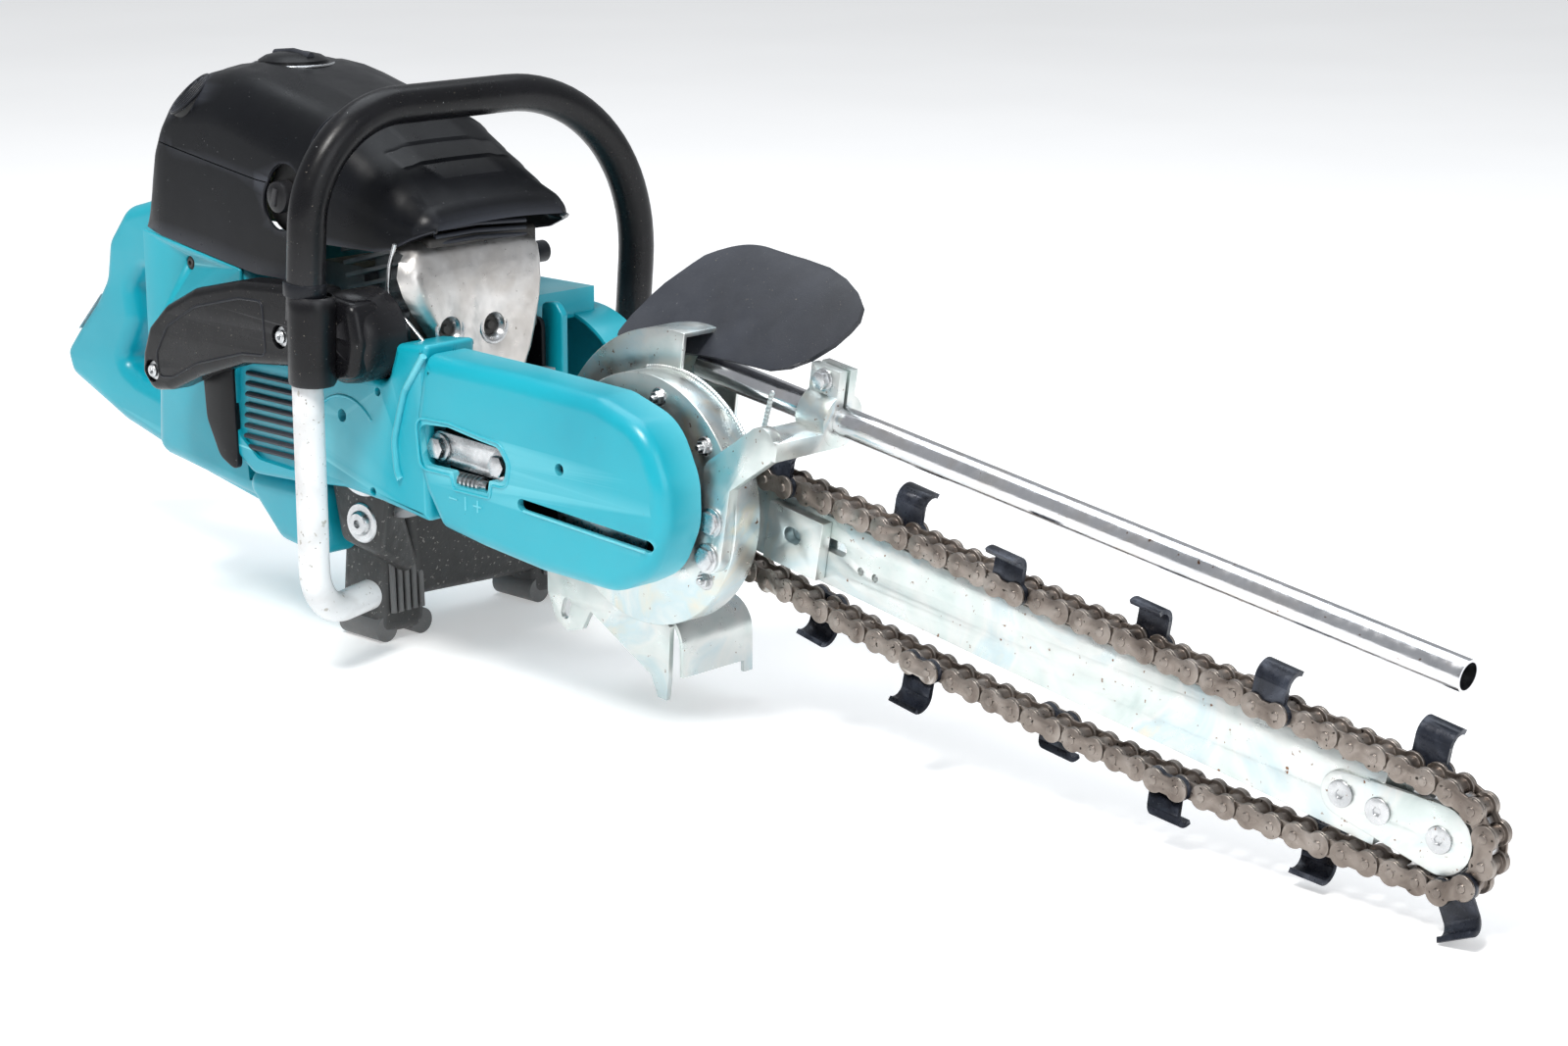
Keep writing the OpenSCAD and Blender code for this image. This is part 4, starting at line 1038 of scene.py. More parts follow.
class Copies:
    """Geometry Nodes group that puts one part on many spots."""

    def __init__(self) -> None:
        """Build the node group once."""
        self.group = bpy.data.node_groups.new("placed_copies", "GeometryNodeTree")
        self.sockets: dict[str, str] = {}
        for name, kind in (
            ("Geometry", "NodeSocketGeometry"), ("Part", "NodeSocketObject"), ("Finish", "NodeSocketMaterial"),
            ("Spin", "NodeSocketFloat"), ("Seed", "NodeSocketInt"),
        ):
            item = self.group.interface.new_socket(name, in_out="INPUT", socket_type=kind)
            self.sockets[name] = item.identifier
        self.group.interface.new_socket("Geometry", in_out="OUTPUT", socket_type="NodeSocketGeometry")
        self.wire_up()

    @staticmethod
    def pick(sockets: Iterable[bpy.types.NodeSocket], name: str) -> bpy.types.NodeSocket:
        """The live socket with a name."""
        return next(item for item in sockets if item.name == name and item.enabled)

    def wire_up(self) -> None:
        """Make the nodes and join them."""
        nodes, links = self.group.nodes, self.group.links
        source = nodes.new("NodeGroupInput")
        target = nodes.new("NodeGroupOutput")
        part = nodes.new("GeometryNodeObjectInfo")
        axis = nodes.new("GeometryNodeInputNamedAttribute")
        axis.data_type = "FLOAT_VECTOR"
        axis.inputs["Name"].default_value = "axis"
        align = nodes.new("FunctionNodeAlignRotationToVector")
        align.axis = "Z"
        chance = nodes.new("FunctionNodeRandomValue")
        chance.data_type = "FLOAT"
        turn = nodes.new("FunctionNodeAxisAngleToRotation")
        turn.inputs["Axis"].default_value = (0.0, 0.0, 1.0)
        spin = nodes.new("FunctionNodeRotateRotation")
        spin.rotation_space = "LOCAL"
        place = nodes.new("GeometryNodeInstanceOnPoints")
        real = nodes.new("GeometryNodeRealizeInstances")
        dress = nodes.new("GeometryNodeSetMaterial")
        self.pick(chance.inputs, "Min").default_value = 0.0
        links.new(source.outputs["Spin"], self.pick(chance.inputs, "Max"))
        links.new(source.outputs["Seed"], self.pick(chance.inputs, "Seed"))
        links.new(source.outputs["Part"], part.inputs["Object"])
        links.new(self.pick(axis.outputs, "Attribute"), align.inputs["Vector"])
        links.new(self.pick(chance.outputs, "Value"), turn.inputs["Angle"])
        links.new(align.outputs["Rotation"], spin.inputs["Rotation"])
        links.new(turn.outputs["Rotation"], spin.inputs["Rotate By"])
        links.new(source.outputs["Geometry"], place.inputs["Points"])
        links.new(part.outputs["Geometry"], place.inputs["Instance"])
        links.new(spin.outputs["Rotation"], place.inputs["Rotation"])
        links.new(place.outputs["Instances"], real.inputs["Geometry"])
        links.new(real.outputs["Geometry"], dress.inputs["Geometry"])
        links.new(source.outputs["Finish"], dress.inputs["Material"])
        links.new(dress.outputs["Geometry"], target.inputs["Geometry"])

    def make(
        self, name: str, part: bpy.types.Object, spots: Sequence[Spot], finish: str, spin: float = 0.0, seed: int = 7
    ) -> bpy.types.Object:
        """Put a part on every spot and return one plain mesh.

        Args:
            name: name of the new piece.
            part: the part, with its axis along Z at the origin, removed afterwards.
            spots: where the copies go.
            finish: key in FINISHES.
            spin: largest turn of a copy about its axis, in radians.
            seed: seed of the turns.

        Returns:
            The copies as one mesh object.
        """
        mesh = bpy.data.meshes.new(name)
        mesh.from_pydata([Vector(spot.at) * MM for spot in spots], [], [])
        axis = mesh.attributes.new("axis", "FLOAT_VECTOR", "POINT")
        for item, spot in zip(axis.data, spots):
            item.vector = spot.axis
        piece = link_mesh(name, mesh)
        modifier = piece.modifiers.new("copies", "NODES")
        modifier.node_group = self.group
        modifier[self.sockets["Part"]] = part
        modifier[self.sockets["Finish"]] = PAINT.material(finish)
        modifier[self.sockets["Spin"]] = spin
        modifier[self.sockets["Seed"]] = seed
        piece = applied(piece)
        bpy.data.objects.remove(part)
        return smooth(piece, 35.0)


COPIES = Copies()


def hex_bolt(across: float, height: float, flange: float) -> bpy.types.Object:
    """Hexagon head with chamfered corners on a washer flange, its axis along Z."""
    head = turned("head", ((0.0, 0.0), (across * 0.577, 0.0), (across * 0.577, height * 0.86), (across * 0.48, height),
                           (0.0, height)), (0, 0, 0), segments=6)
    washer = turned("washer", ((0.0, -1.2), (flange, -1.2), (flange, 0.2), (flange * 0.9, 0.9), (0.0, 0.9)), (0, 0, 0))
    stud = turned("stud", ((0.0, 0.5), (across * 0.28, 0.5), (across * 0.28, height + 2.2), (across * 0.2, height + 3),
                           (0.0, height + 3)), (0, 0, 0), segments=24)
    return joined("hex_bolt", (head, washer, stud))


def socket_bolt(radius: float, height: float) -> bpy.types.Object:
    """Round head with a hexagon socket on a washer, its axis along Z."""
    body = turned("head", ((0.0, -1.0), (radius * 1.45, -1.0), (radius * 1.45, 0.5), (radius, 0.7),
                           (radius, height * 0.8), (radius * 0.85, height), (0.0, height)), (0, 0, 0))
    well = turned("well", ((0.0, height * 0.3), (radius * 0.55, height * 0.3), (radius * 0.55, height + 2),
                           (0.0, height + 2)), (0, 0, 0), segments=6)
    return cut(body, well)


def weld_bead(size: float) -> bpy.types.Object:
    """One rounded blob of a weld seam."""
    profile = [(size * math.cos(a), size * 0.3 * math.sin(a)) for a in (0.0, 0.4, 0.8, 1.2)] + [(0.0, size * 0.3)]
    return turned("bead", ((0.0, -size * 0.3), (size, -size * 0.3), *profile), (0, 0, 0), segments=14)


# ---------------------------------------------------------------- hood and filter cover


@dataclass(frozen=True)
class Station:
    """One section of the hood across the machine."""

    x: float
    top: float
    shoulder: float
    bottom: float
    right: float
    left: float

    def ring(self) -> list[Point]:
        """Points of the section, from the right lower edge over the top to the left lower edge."""
        radius = max(min(self.shoulder, self.top - self.bottom - 1.0), 1.0)
        points: list[Flat] = []
        rise = self.top - radius - self.bottom
        for step in range(6):
            points.append((self.right + 2.5 * (step / 6) ** 2, self.bottom + rise * step / 6))
        centre = self.right + 2.5 + radius
        for step in range(11):
            angle = math.pi - math.pi / 2 * step / 10
            points.append((centre + radius * math.cos(angle), self.top - radius + radius * math.sin(angle)))
        half = (self.left - self.right) / 2
        middle = (self.left + self.right) / 2
        for step in range(1, 6):
            share = step / 10
            y = centre + (self.left - self.right - 5 - 2 * radius) * share
            points.append((y, self.top + 3.0 * (1 - ((y - middle) / half) ** 2) - 0.6))
        mirrored = [(2 * middle - y, z) for y, z in reversed(points[:-1])]
        return [(self.x, y, z) for y, z in points + mirrored]


@dataclass
class Hood:
    """Engine hood, filter cover with its louvres, knob and button."""

    crest: tuple[tuple[float, float, float], ...] = (
        (-194, 284, 6), (-190, 304, 12), (-185, 326, 16), (-179, 347, 20), (-172, 363, 24), (-165, 375, 28),
        (-156, 384, 31), (-146, 389, 34), (-132, 392.5, 36), (-114, 394.5, 37), (-95, 393, 38), (-80, 390, 38),
        (-62, 386, 40), (-40, 381, 41),
        (-22, 377, 42), (-10, 374.5, 42), (-7, 374, 42), (6, 370, 40), (20, 364.5, 36), (22, 362, 35), (42, 352, 34),
        (44, 349.5, 33), (62, 341.5, 32), (64, 339, 31), (80, 331, 29), (82, 328.5, 28), (98, 319.5, 24),
        (104, 315, 16), (108, 310, 8), (108.5, 305, 3),
    )
    seam: tuple[Flat, ...] = ((-240, 350), (-168, 341), (-60, 325.5), (-5.5, 321.5))
    shell: float = 3.0
    vent: Point = (-149, -30, 376)
    vent_axis: Point = (-0.30, -0.62, 0.72)
    button: Point = (-30.5, -43, 316)
    knob: Flat = (-113, 35)
    well: tuple[Flat, Flat] = ((-32, 311), (-28, 320))

    def stations(self) -> list[Station]:
        """Sections of the whole skin from the rear to the front lip."""
        stations = []
        for x, top, shoulder in self.crest:
            ahead = max(0.0, x + 8) / 108
            near = 277.0 - (x + 191) / 112 * 16 if x < -78 else 259.0
            bottom = near if x < -8 else 288.0 + 12.0 * max(0.0, ahead - 0.75) / 0.25
            nip = 10.0 if x > 107 else 4.0 if x > 103 else 0.0
            behind = max(0.0, -176 - x) * 0.25
            right = -43 + 7 * ahead + nip + behind
            left = 113 - 10 * ahead - nip - behind
            stations.append(Station(x, top, shoulder, min(bottom, top - 2), right, left))
        return stations

    def region(self, grow: float) -> bpy.types.Object:
        """Prism over everything above the seam and behind the split."""
        low = [(x, z - grow) for x, z in self.seam]
        low[-1] = (low[-1][0] + grow, low[-1][1])
        outline = [*low, (low[-1][0], 430), (-240, 430)]
        return plate("region", list(reversed(outline)), -90, 160, edge=0.01, steps=0)

    def build(self) -> None:
        """Build every piece of the hood."""
        rows = [station.ring() for station in self.stations()]
        hood = skin("engine_hood_shell", rows, self.shell)
        cover = skin("filter_cover_shell", rows, self.shell)
        knob_hole = turned("knob_hole", ((0, 380), (9, 380), (9, 400), (0, 400)), (*self.knob, 0))
        mouth = turned("mouth", ((0, -8), (19, -8), (19, 14), (0, 14)), self.vent, self.vent_axis)
        pockets = [plate("pocket", slot(*self.well, 19), -60, -30, edge=0.01, steps=0) for _ in range(2)]
        hood = cut(hood, self.region(0.9), pockets[0])
        cover = kept(cover, self.region(0.0))
        cover = cut(cover, mouth, pockets[1], knob_hole)
        put(smooth(hood, 24), Body.MACHINE, "black_plastic", None, "engine_hood")
        put(smooth(cover, 24), Body.MACHINE, "black_plastic", None, "filter_cover")
        self.louvres()
        self.recess()
        self.latch()
        self.lip()
        self.panel()

    def louvres(self) -> None:
        """Curved slats in a round mouth at the cover's rear corner."""
        axis = Vector(self.vent_axis).normalized()
        up = (Vector((0, 0, 1)) - axis * axis.z).normalized()
        side = up.cross(axis)
        floor = turned("vent_floor", ((0, -6), (18.8, -6), (18.8, 0.5), (17.6, 0.5), (17.4, -4.6), (0, -4.6)),
                       self.vent, self.vent_axis)
        put(floor, Body.MACHINE, "deep_black", "black_plastic")
        rim = turned("vent_rim", [(18.4 + 1.3 * math.cos(a * 0.7), 1.3 * math.sin(a * 0.7)) for a in range(10)],
                     self.vent, self.vent_axis)
        put(rim, Body.MACHINE, "black_plastic", "black_plastic")
        slats = []
        for i in range(6):
            shift = (i - 2.5) * 5.6
            half = math.sqrt(max(17.5**2 - shift**2, 1.0))
            path = []
            for step in range(9):
                share = step / 4 - 1
                bulge = 2.4 * (1 - share * share)
                path.append(Vector(self.vent) + side * (shift + bulge) + up * (half * share) - axis * 0.8)
            slats.append(tube("slat", path, 1.7, 12))
        put(joined("vent_slats", slats), Body.MACHINE, "black_plastic", "black_plastic")

    def recess(self) -> None:
        """Oval well round the decompression button, with its rim."""
        loop = slot(*self.well, 19.6)
        floor = plate("button_well", slot(*self.well, 20.5), -36.5, -34.5, edge=0.4)
        put(floor, Body.MACHINE, "deep_black", "black_plastic")
        rim = wire("button_rim", [(x, -42.6 + (0.0 if z < 322 else (z - 322) * 0.25), z) for x, z in loop], 1.3)
        put(rim, Body.MACHINE, "black_plastic", "black_plastic")
        x, _, z = self.button
        cap = lathe("decompression_button_cap",
                    ((0, -49), (8, -49), (10.6, -47.6), (11.2, -45), (11.2, -38), (8.5, -36), (0, -36)), (x, z), 48,
                    closed=False)
        grip = tube("grip", [Vector((x - 1.5, -49, z - 6)), Vector((x + 1.5, -49, z + 6))], 2.2, 14)
        put(joined("decompression_button_head", (cap, grip)), Body.BUTTON, "black_rubber", None, "decompression_button")

    def latch(self) -> None:
        """Low domed knob that holds the filter cover."""
        x, y = self.knob
        dome = turned("dome", ((0, 391), (27, 391), (29, 392.5), (29.5, 394.5), (28, 396.4), (25.5, 396.8), (25, 398.5),
                               (20, 401.5), (11, 403.6), (0, 404.2)), (x, y, 0), segments=72)
        bar = tube("bar", [Vector((x - 20, y, 401)), Vector((x, y, 403)), Vector((x + 20, y, 401))], 3.4, 18)
        put(joined("top_knob_dome", (dome, bar)), Body.TOP_KNOB, "black_plastic", None, "top_knob")
        band = wire("top_knob_band", [(x + 28.8 * math.cos(a * math.pi / 24), y + 28.8 * math.sin(a * math.pi / 24),
                                       395.4) for a in range(48)], 1.1)
        put(band, Body.TOP_KNOB, "bright_steel", "bright_steel")

    def panel(self) -> None:
        """Teal side panel under the hood's rear, with its recessed screw."""
        sheet = plate("side_panel", fillet([(-193, 276.5, 1), (-79, 260.3, 2), (-79, 196, 4), (-193, 186, 8)]), -45.2,
                      -42.4, edge=0.8)
        well = plate("well", circle(-137, 258, 5.2, 32), -60, -43.6, edge=0.01, steps=0)
        put(cut(sheet, well), Body.MACHINE, "teal_plastic", "teal_plastic")
        put(COPIES.make("panel_screw", socket_bolt(3.4, 2.0), [Spot((-137, -43.4, 258))], "dark_metal"), Body.MACHINE,
            None, "bright_steel")

    def lip(self) -> None:
        """Ribs under the hood's front lip."""
        ribs = [tube("rib", [Vector((96, -14, z)), Vector((99, 20, z + 1.2)), Vector((97, 66, z - 2))], 1.6, 12)
                for z in (303.5, 298.5, 294.0)]
        put(joined("hood_lip_ribs", ribs), Body.MACHINE, "black_plastic", "black_plastic")


# ---------------------------------------------------------------- rear handle and housing


@dataclass
class RearHandle:
    """Teal rear handle with its loop, toe and blank label."""

    outline: tuple[tuple[float, float, float], ...] = (
        (-176, 276, 10), (-268, 284, 16), (-309, 273, 24), (-333, 246, 20), (-339, 216, 20), (-354, 196, 14),
        (-382, 169, 10), (-399, 151, 12), (-392, 132, 14), (-322, 104, 40), (-217, 78, 60), (-130, 62, 20),
        (-124, 120, 10), (-170, 180, 20),
    )
    gap: tuple[tuple[float, float, float], ...] = (
        (-204, 222, 12), (-290, 226, 14), (-306, 212, 12), (-300, 186, 14), (-322, 152, 10), (-300, 142, 12),
        (-232, 128, 12), (-200, 140, 10),
    )

    def build(self) -> None:
        """Build the handle and its label."""
        y0, y1 = 17.0, 53.0
        body = plate("rear_handle_loop", fillet(self.outline), y0, y1, (fillet(self.gap),), edge=11.5, steps=6)
        put(body, Body.MACHINE, "teal_plastic", None, "rear_handle")
        label = plate("blank_label", ((-350, 200.9), (-382, 170.3), (-383, 169.2), (-351, 199.7)), 22, 48, edge=0.2)
        put(label, Body.MACHINE, "label_white", "teal_plastic")
        seam = wire("rear_handle_seam", [(x, y1 - 18, z) for x, z in fillet(self.outline)], 0.45)
        put(seam, Body.MACHINE, "dark_teal", "teal_plastic")


# ---------------------------------------------------------------- belt guard and clutch cover


@dataclass
class BeltGuard:
    """Teal belt guard with its windows, long slot and marks."""

    outline: tuple[tuple[float, float, float], ...] = (
        (137, 231, 6), (217, 229, 30), (300, 225.5, 40), (342, 213, 40), (359, 178, 40), (360, 150, 40), (345, 118, 40),
        (312, 101.5, 40), (245, 103, 20), (188, 109, 20), (148, 115, 10), (131, 139, 20), (123, 165, 20),
        (124, 190, 20), (131, 222, 6),
    )
    near: float = -61.0
    far: float = -27.0
    wall: float = 3.0

    def inset(self, by: float) -> list[Flat]:
        """The outline moved inwards by a distance."""
        loop = fillet(self.outline)
        centre = Vector((240, 165))
        result = []
        count = len(loop)
        for index, point in enumerate(loop):
            ahead = Vector(loop[(index + 1) % count]) - Vector(loop[index - 1])
            normal = Vector((ahead.y, -ahead.x)).normalized()
            if normal.dot(Vector(point) - centre) < 0:
                normal = -normal
            moved = Vector(point) - normal * by
            result.append((moved.x, moved.y))
        return result

    def build(self) -> None:
        """Build the shell and its small parts."""
        shell = plate("belt_guard_shell", fillet(self.outline), self.near, self.far + 14, edge=11.0, steps=6)
        room = plate("room", self.inset(self.wall + 1.0), self.near + 5, self.far + 40, edge=0.01, steps=0)
        trim = block("trim", (80, self.far, 60), (420, 60, 280))
        window = plate("window", fillet([(130, 184, 8), (134, 157, 7), (164, 157, 2), (166, 148, 2), (198, 148, 2),
                                         (200, 157, 2), (214, 157, 8), (217, 170, 8), (209, 180, 8), (190, 182, 4),
                                         (160, 186, 4)]), -90, self.near + 12, edge=0.01, steps=0)
        groove = plate("groove", slot((231, 146), (346, 139), 4.0), -90, self.near + 12, edge=0.01, steps=0)
        hole = plate("hole", circle(267, 175, 4, 32), -90, self.near + 12, edge=0.01, steps=0)
        shell = cut(shell, room, trim, window, groove, hole)
        put(smooth(shell, 26), Body.MACHINE, "teal_plastic", None, "belt_guard")
        lower = wire("slot_lip", [(233, -61.2, 142.3), (290, -61.2, 138.6), (345, -61.2, 135.2)], 0.9, closed=False)
        window_rim = wire("window_rim", [(x, -61.0, z) for x, z in fillet(
            [(127, 188, 9), (131, 154, 8), (162, 154, 3), (164, 145, 3), (200, 145, 3), (202, 154, 3), (217, 154, 9),
             (220, 171, 9), (211, 183, 9), (190, 185, 5), (160, 189, 5)])], 1.0)
        marks = [wire("mark", [(x0, -61.1, z0), (x1, -61.1, z1)], 0.6, closed=False)
                 for x0, z0, x1, z1 in ((160, 139, 168, 138.6), (176, 142, 176, 133), (184, 137.6, 192, 137.2),
                                        (188, 141.4, 188, 133.4))]
        rims = joined("belt_guard_rims", (lower, window_rim, *marks))
        put(rims, Body.MACHINE, "teal_plastic", "teal_plastic")
        # Black sheet inside the guard, seen through the window and slot: painted shade of the hollow inside.
        back = plate("guard_inside", self.inset(8), self.near + 22, self.near + 24, edge=0.3)
        put(back, Body.MACHINE, "deep_black", "black_plastic")


@dataclass
class ClutchCover:
    """Teal cover round the clutch, its ridge, prong, vent and screw holes."""

    outline: tuple[tuple[float, float, float], ...] = (
        (-90, 184, 10), (-84, 134, 10), (-58, 118, 14), (-10, 120, 20), (42, 125, 20), (83, 122, 10), (133, 116, 4),
        (133, 226, 4), (134, 236, 3), (103, 233, 4), (93, 205, 10), (40, 214, 10), (-60, 207, 12),
    )

    def build(self) -> None:
        """Build the cover."""
        body = plate("clutch_cover_shell", fillet(self.outline), -57, -12, edge=5.0, steps=4)
        room = block("room", (-84, -50, 128), (160, 10, 198))
        vent = plate("vent", fillet([(-72, 196, 10), (-74, 146, 14), (-50, 130, 12), (-8, 128, 10), (2, 146, 10),
                                     (2, 196, 8)]), -70, -53.5, edge=0.01, steps=0)
        holes = [plate("hole", circle(x, z, r, 24), -80, -45, edge=0.01, steps=0)
                 for x, z, r in ((45, 176, 4.5), (76, 128, 3.0), (84, 198, 3.0))]
        body = cut(body, room, vent, *holes)
        put(smooth(body, 26), Body.MACHINE, "teal_plastic", None, "clutch_cover")
        ridge = wire("cover_ridge", [(x, -57.5, z) for x, z in fillet(
            [(133, 229, 0), (113, 203, 20), (101, 168, 30), (103, 146, 20), (121, 120, 0)], 8)[:-1]], 2.6, closed=False)
        arc = wire("cover_arc", [(48 + 34 * math.cos(a / 10), -57.0, 160 + 30 * math.sin(a / 10))
                                 for a in range(6, 34)], 1.1, closed=False)
        put(joined("clutch_cover_ridges", (ridge, arc)), Body.MACHINE, "teal_plastic", "teal_plastic")
        slat = joined("slat", [tube("bar", [Vector((-31, 0, 0)), Vector((31, 0, 0))], 2.3, 12, 0.8)])
        spots = [Spot((-36 + i * 0.8, -54.6, 137 + i * 7.6), (0, -1, 0)) for i in range(8)]
        put(COPIES.make("vent_louvres", slat, spots, "black_plastic"), Body.MACHINE, None, "black_plastic")
        panel = plate("cover_side_panel", fillet([(-110, 204, 4), (-106, 152, 20), (-92, 126, 14), (-72, 117, 6),
                                                  (-74, 204, 4)]), -59.5, -54, edge=1.2)
        put(panel, Body.MACHINE, "black_plastic", "black_plastic")
        sump = hull_of_balls("lower_housing", ((-70, -34, 106, 12), (-14, -34, 106, 12), (-70, 40, 106, 12),
                                               (-14, 40, 106, 12), (-50, -28, 78, 12), (-18, -28, 74, 12),
                                               (-50, 30, 78, 12), (-18, 30, 74, 12)), 24)
        put(sump, Body.MACHINE, "teal_plastic", "teal_plastic")
        # Black sheet behind the louvres: painted shade inside the vent.
        floor = plate("vent_floor_plate", fillet([(-76, 198, 10), (-77, 143, 12), (-48, 127, 10), (4, 125, 8),
                                                  (5, 198, 8)]), -51.5, -50.5, edge=0.2)
        put(floor, Body.MACHINE, "deep_black", "black_plastic")


# ---------------------------------------------------------------- front handle, its bracket, tube and feet


@dataclass
class Bracket:
    """Black bracket of the front handle, with a framed blank panel and two recessed screws."""

    outline: tuple[tuple[float, float, float], ...] = (
        (-141, 199, 8), (-133, 218, 12), (-112, 236, 16), (-78, 252, 24), (-25, 264, 30), (38, 268, 20), (56, 268, 3),
        (60, 266, 3), (97, 262, 10), (103, 236, 14), (97, 212, 14), (58, 205, 6), (36, 212, 14), (-24, 206, 24),
        (-76, 190, 24), (-112, 175, 12), (-131, 172, 10), (-143, 184, 8),
    )
    near: float = -88.0
    screws: tuple[Flat, ...] = ((20, 231), (71, 231))

    def build(self) -> None:
        """Build the bracket with its boss, socket and screws."""
        screws = (*self.screws, (-129, 187))
        body = plate("arm", fillet(self.outline), self.near, -62, edge=6.5, steps=5)
        wells = [plate("well", circle(x, z, 8.2, 40), self.near - 5, self.near + 4, edge=0.01, steps=0)
                 for x, z in screws]
        body = cut(body, *wells)
        boss = lathe("boss", ((0, -84), (24, -84), (28, -81.5), (30.5, -77), (31.5, -70), (31.5, -48), (29, -45),
                              (0, -45)), (74, 236), 64, closed=False)
        neck = turned("neck", ((0, 207), (15, 207), (16, 209), (16.4, 232), (16.6, 256), (16.2, 263), (15, 266),
                               (13.2, 267), (13.2, 262), (0, 262)), (55.5, -97, 0), (0.05, 0, 1))
        put(joined("handle_bracket_body", (smooth(body, 26), boss, neck)), Body.MACHINE, "black_rubber", None,
            "handle_bracket")
        panel = fillet([(-122, 201, 8), (-108, 222, 14), (-74, 240, 20), (-24, 252, 20), (2, 253, 6), (4, 216, 6),
                        (-22, 214, 12), (-74, 200, 20), (-104, 186, 12), (-120, 184, 6)])
        rim = wire("bracket_panel_rim", [(x, self.near + 0.4, z) for x, z in panel], 1.1)
        put(rim, Body.MACHINE, "black_plastic", "black_rubber")
        spots = [Spot((x, self.near + 3.2, z)) for x, z in screws]
        put(COPIES.make("bracket_screws", socket_bolt(4.6, 3.6), spots, "bright_steel", 3.0), Body.MACHINE, None, None,
            "cover_screws")


@dataclass
class FrontHandle:
    """Coated front handle, leaning forward from its socket."""

    foot: Point = (63, -99, 252)
    lean: float = 5.0
    width: float = 302.0
    top: float = 386.0
    collar: float = 271.0
    radius: float = 12.9

    def build(self) -> None:
        """Sweep the handle and add its end collar."""
        slope = math.tan(math.radians(self.lean))

        def leaning(y: float, z: float, bend: float = 0.0) -> tuple[float, float, float, float]:
            return (self.foot[0] + (z - self.foot[2]) * slope, y, z, bend)

        left = self.foot[1] + self.width
        corners = [leaning(self.foot[1], 250), leaning(self.foot[1], self.top, 74), leaning(left, self.top, 132),
                   leaning(left, 183)]
        body = tube("front_handle_tube", bent_path(corners, 22), self.radius, 48)
        put(body, Body.MACHINE, "black_rubber", None, "front_handle")
        collar = turned("collar", ((12.6, -5), (14.2, -4.4), (14.5, -3.6), (14.5, 3.6), (14.2, 4.4), (12.6, 5)),
                        (self.foot[0] + 10 * slope, self.foot[1], self.collar), (slope, 0, 1))
        put(joined("front_handle_ring", [collar]), Body.MACHINE, "black_plastic", "black_rubber")


@dataclass
class Foot:
    """Black front feet with rounded ridges, scuffs and a washer."""

    lefts: tuple[float, ...] = (7.0, 152.0)

    def build(self) -> None:
        """Build both feet as one piece, with ridges and a screw."""
        blanks = []
        spots = []
        for y in self.lefts:
            blanks.append(hull_of_balls("leg", (
                (-14, y - 6, 92, 7), (18, y - 6, 92, 7), (-14, y + 18, 92, 7), (18, y + 18, 92, 7),
                (-16, y - 10, 14, 8), (16, y - 10, 14, 8), (-16, y + 14, 14, 9), (16, y + 14, 14, 9)), 20))
            blanks.append(tube("toe", [Vector((-20, y - 12, 9.5)), Vector((22, y - 12, 9.5))], 9.4, 24))
            blanks.append(tube("toe", [Vector((-20, y + 20, 9.5)), Vector((22, y + 20, 9.5))], 9.4, 24))
            for step in range(5):
                spots.append(Spot((25.5, y - 9 + step * 6.4, 50), (1, 0, 0)))
        blanks.append(hull_of_balls("cross", (
            (-8, 6, 108, 9), (36, 6, 112, 9), (-8, 150, 108, 9), (30, 150, 108, 9), (-10, 30, 38, 10), (15, 30, 38, 10),
            (-10, 132, 34, 10), (15, 132, 34, 10)), 20))
        blanks.append(hull_of_balls("ear", (
            (6, -26, 118, 8), (50, -26, 118, 8), (14, -26, 84, 8), (42, -26, 80, 8), (30, 6, 60, 8)), 20))
        put(joined("front_foot_body", blanks), Body.MACHINE, "scuffed_foot", None, "front_foot")
        ridge = tube("ridge", [Vector((-34, 0, -1)), Vector((28, 0, 1.2))], 2.2, 12)
        put(COPIES.make("foot_ridges", ridge, spots, "scuffed_foot"), Body.MACHINE, None, "black_rubber")
        washer = turned("washer", ((0, 0), (14, 0), (14.2, 0.7), (13.4, 1.8), (9, 2.2), (8.6, 4), (7.2, 5.6), (3, 5.8),
                                   (2.4, 3.4), (0, 3.4)), (0, 0, 0))
        put(COPIES.make("foot_washer", washer, [Spot((35, -34.2, 95), (0.1, -1.0, 0.0))], "bright_steel"), Body.MACHINE,
            None, "bright_steel")


# ---------------------------------------------------------------- muffler guard


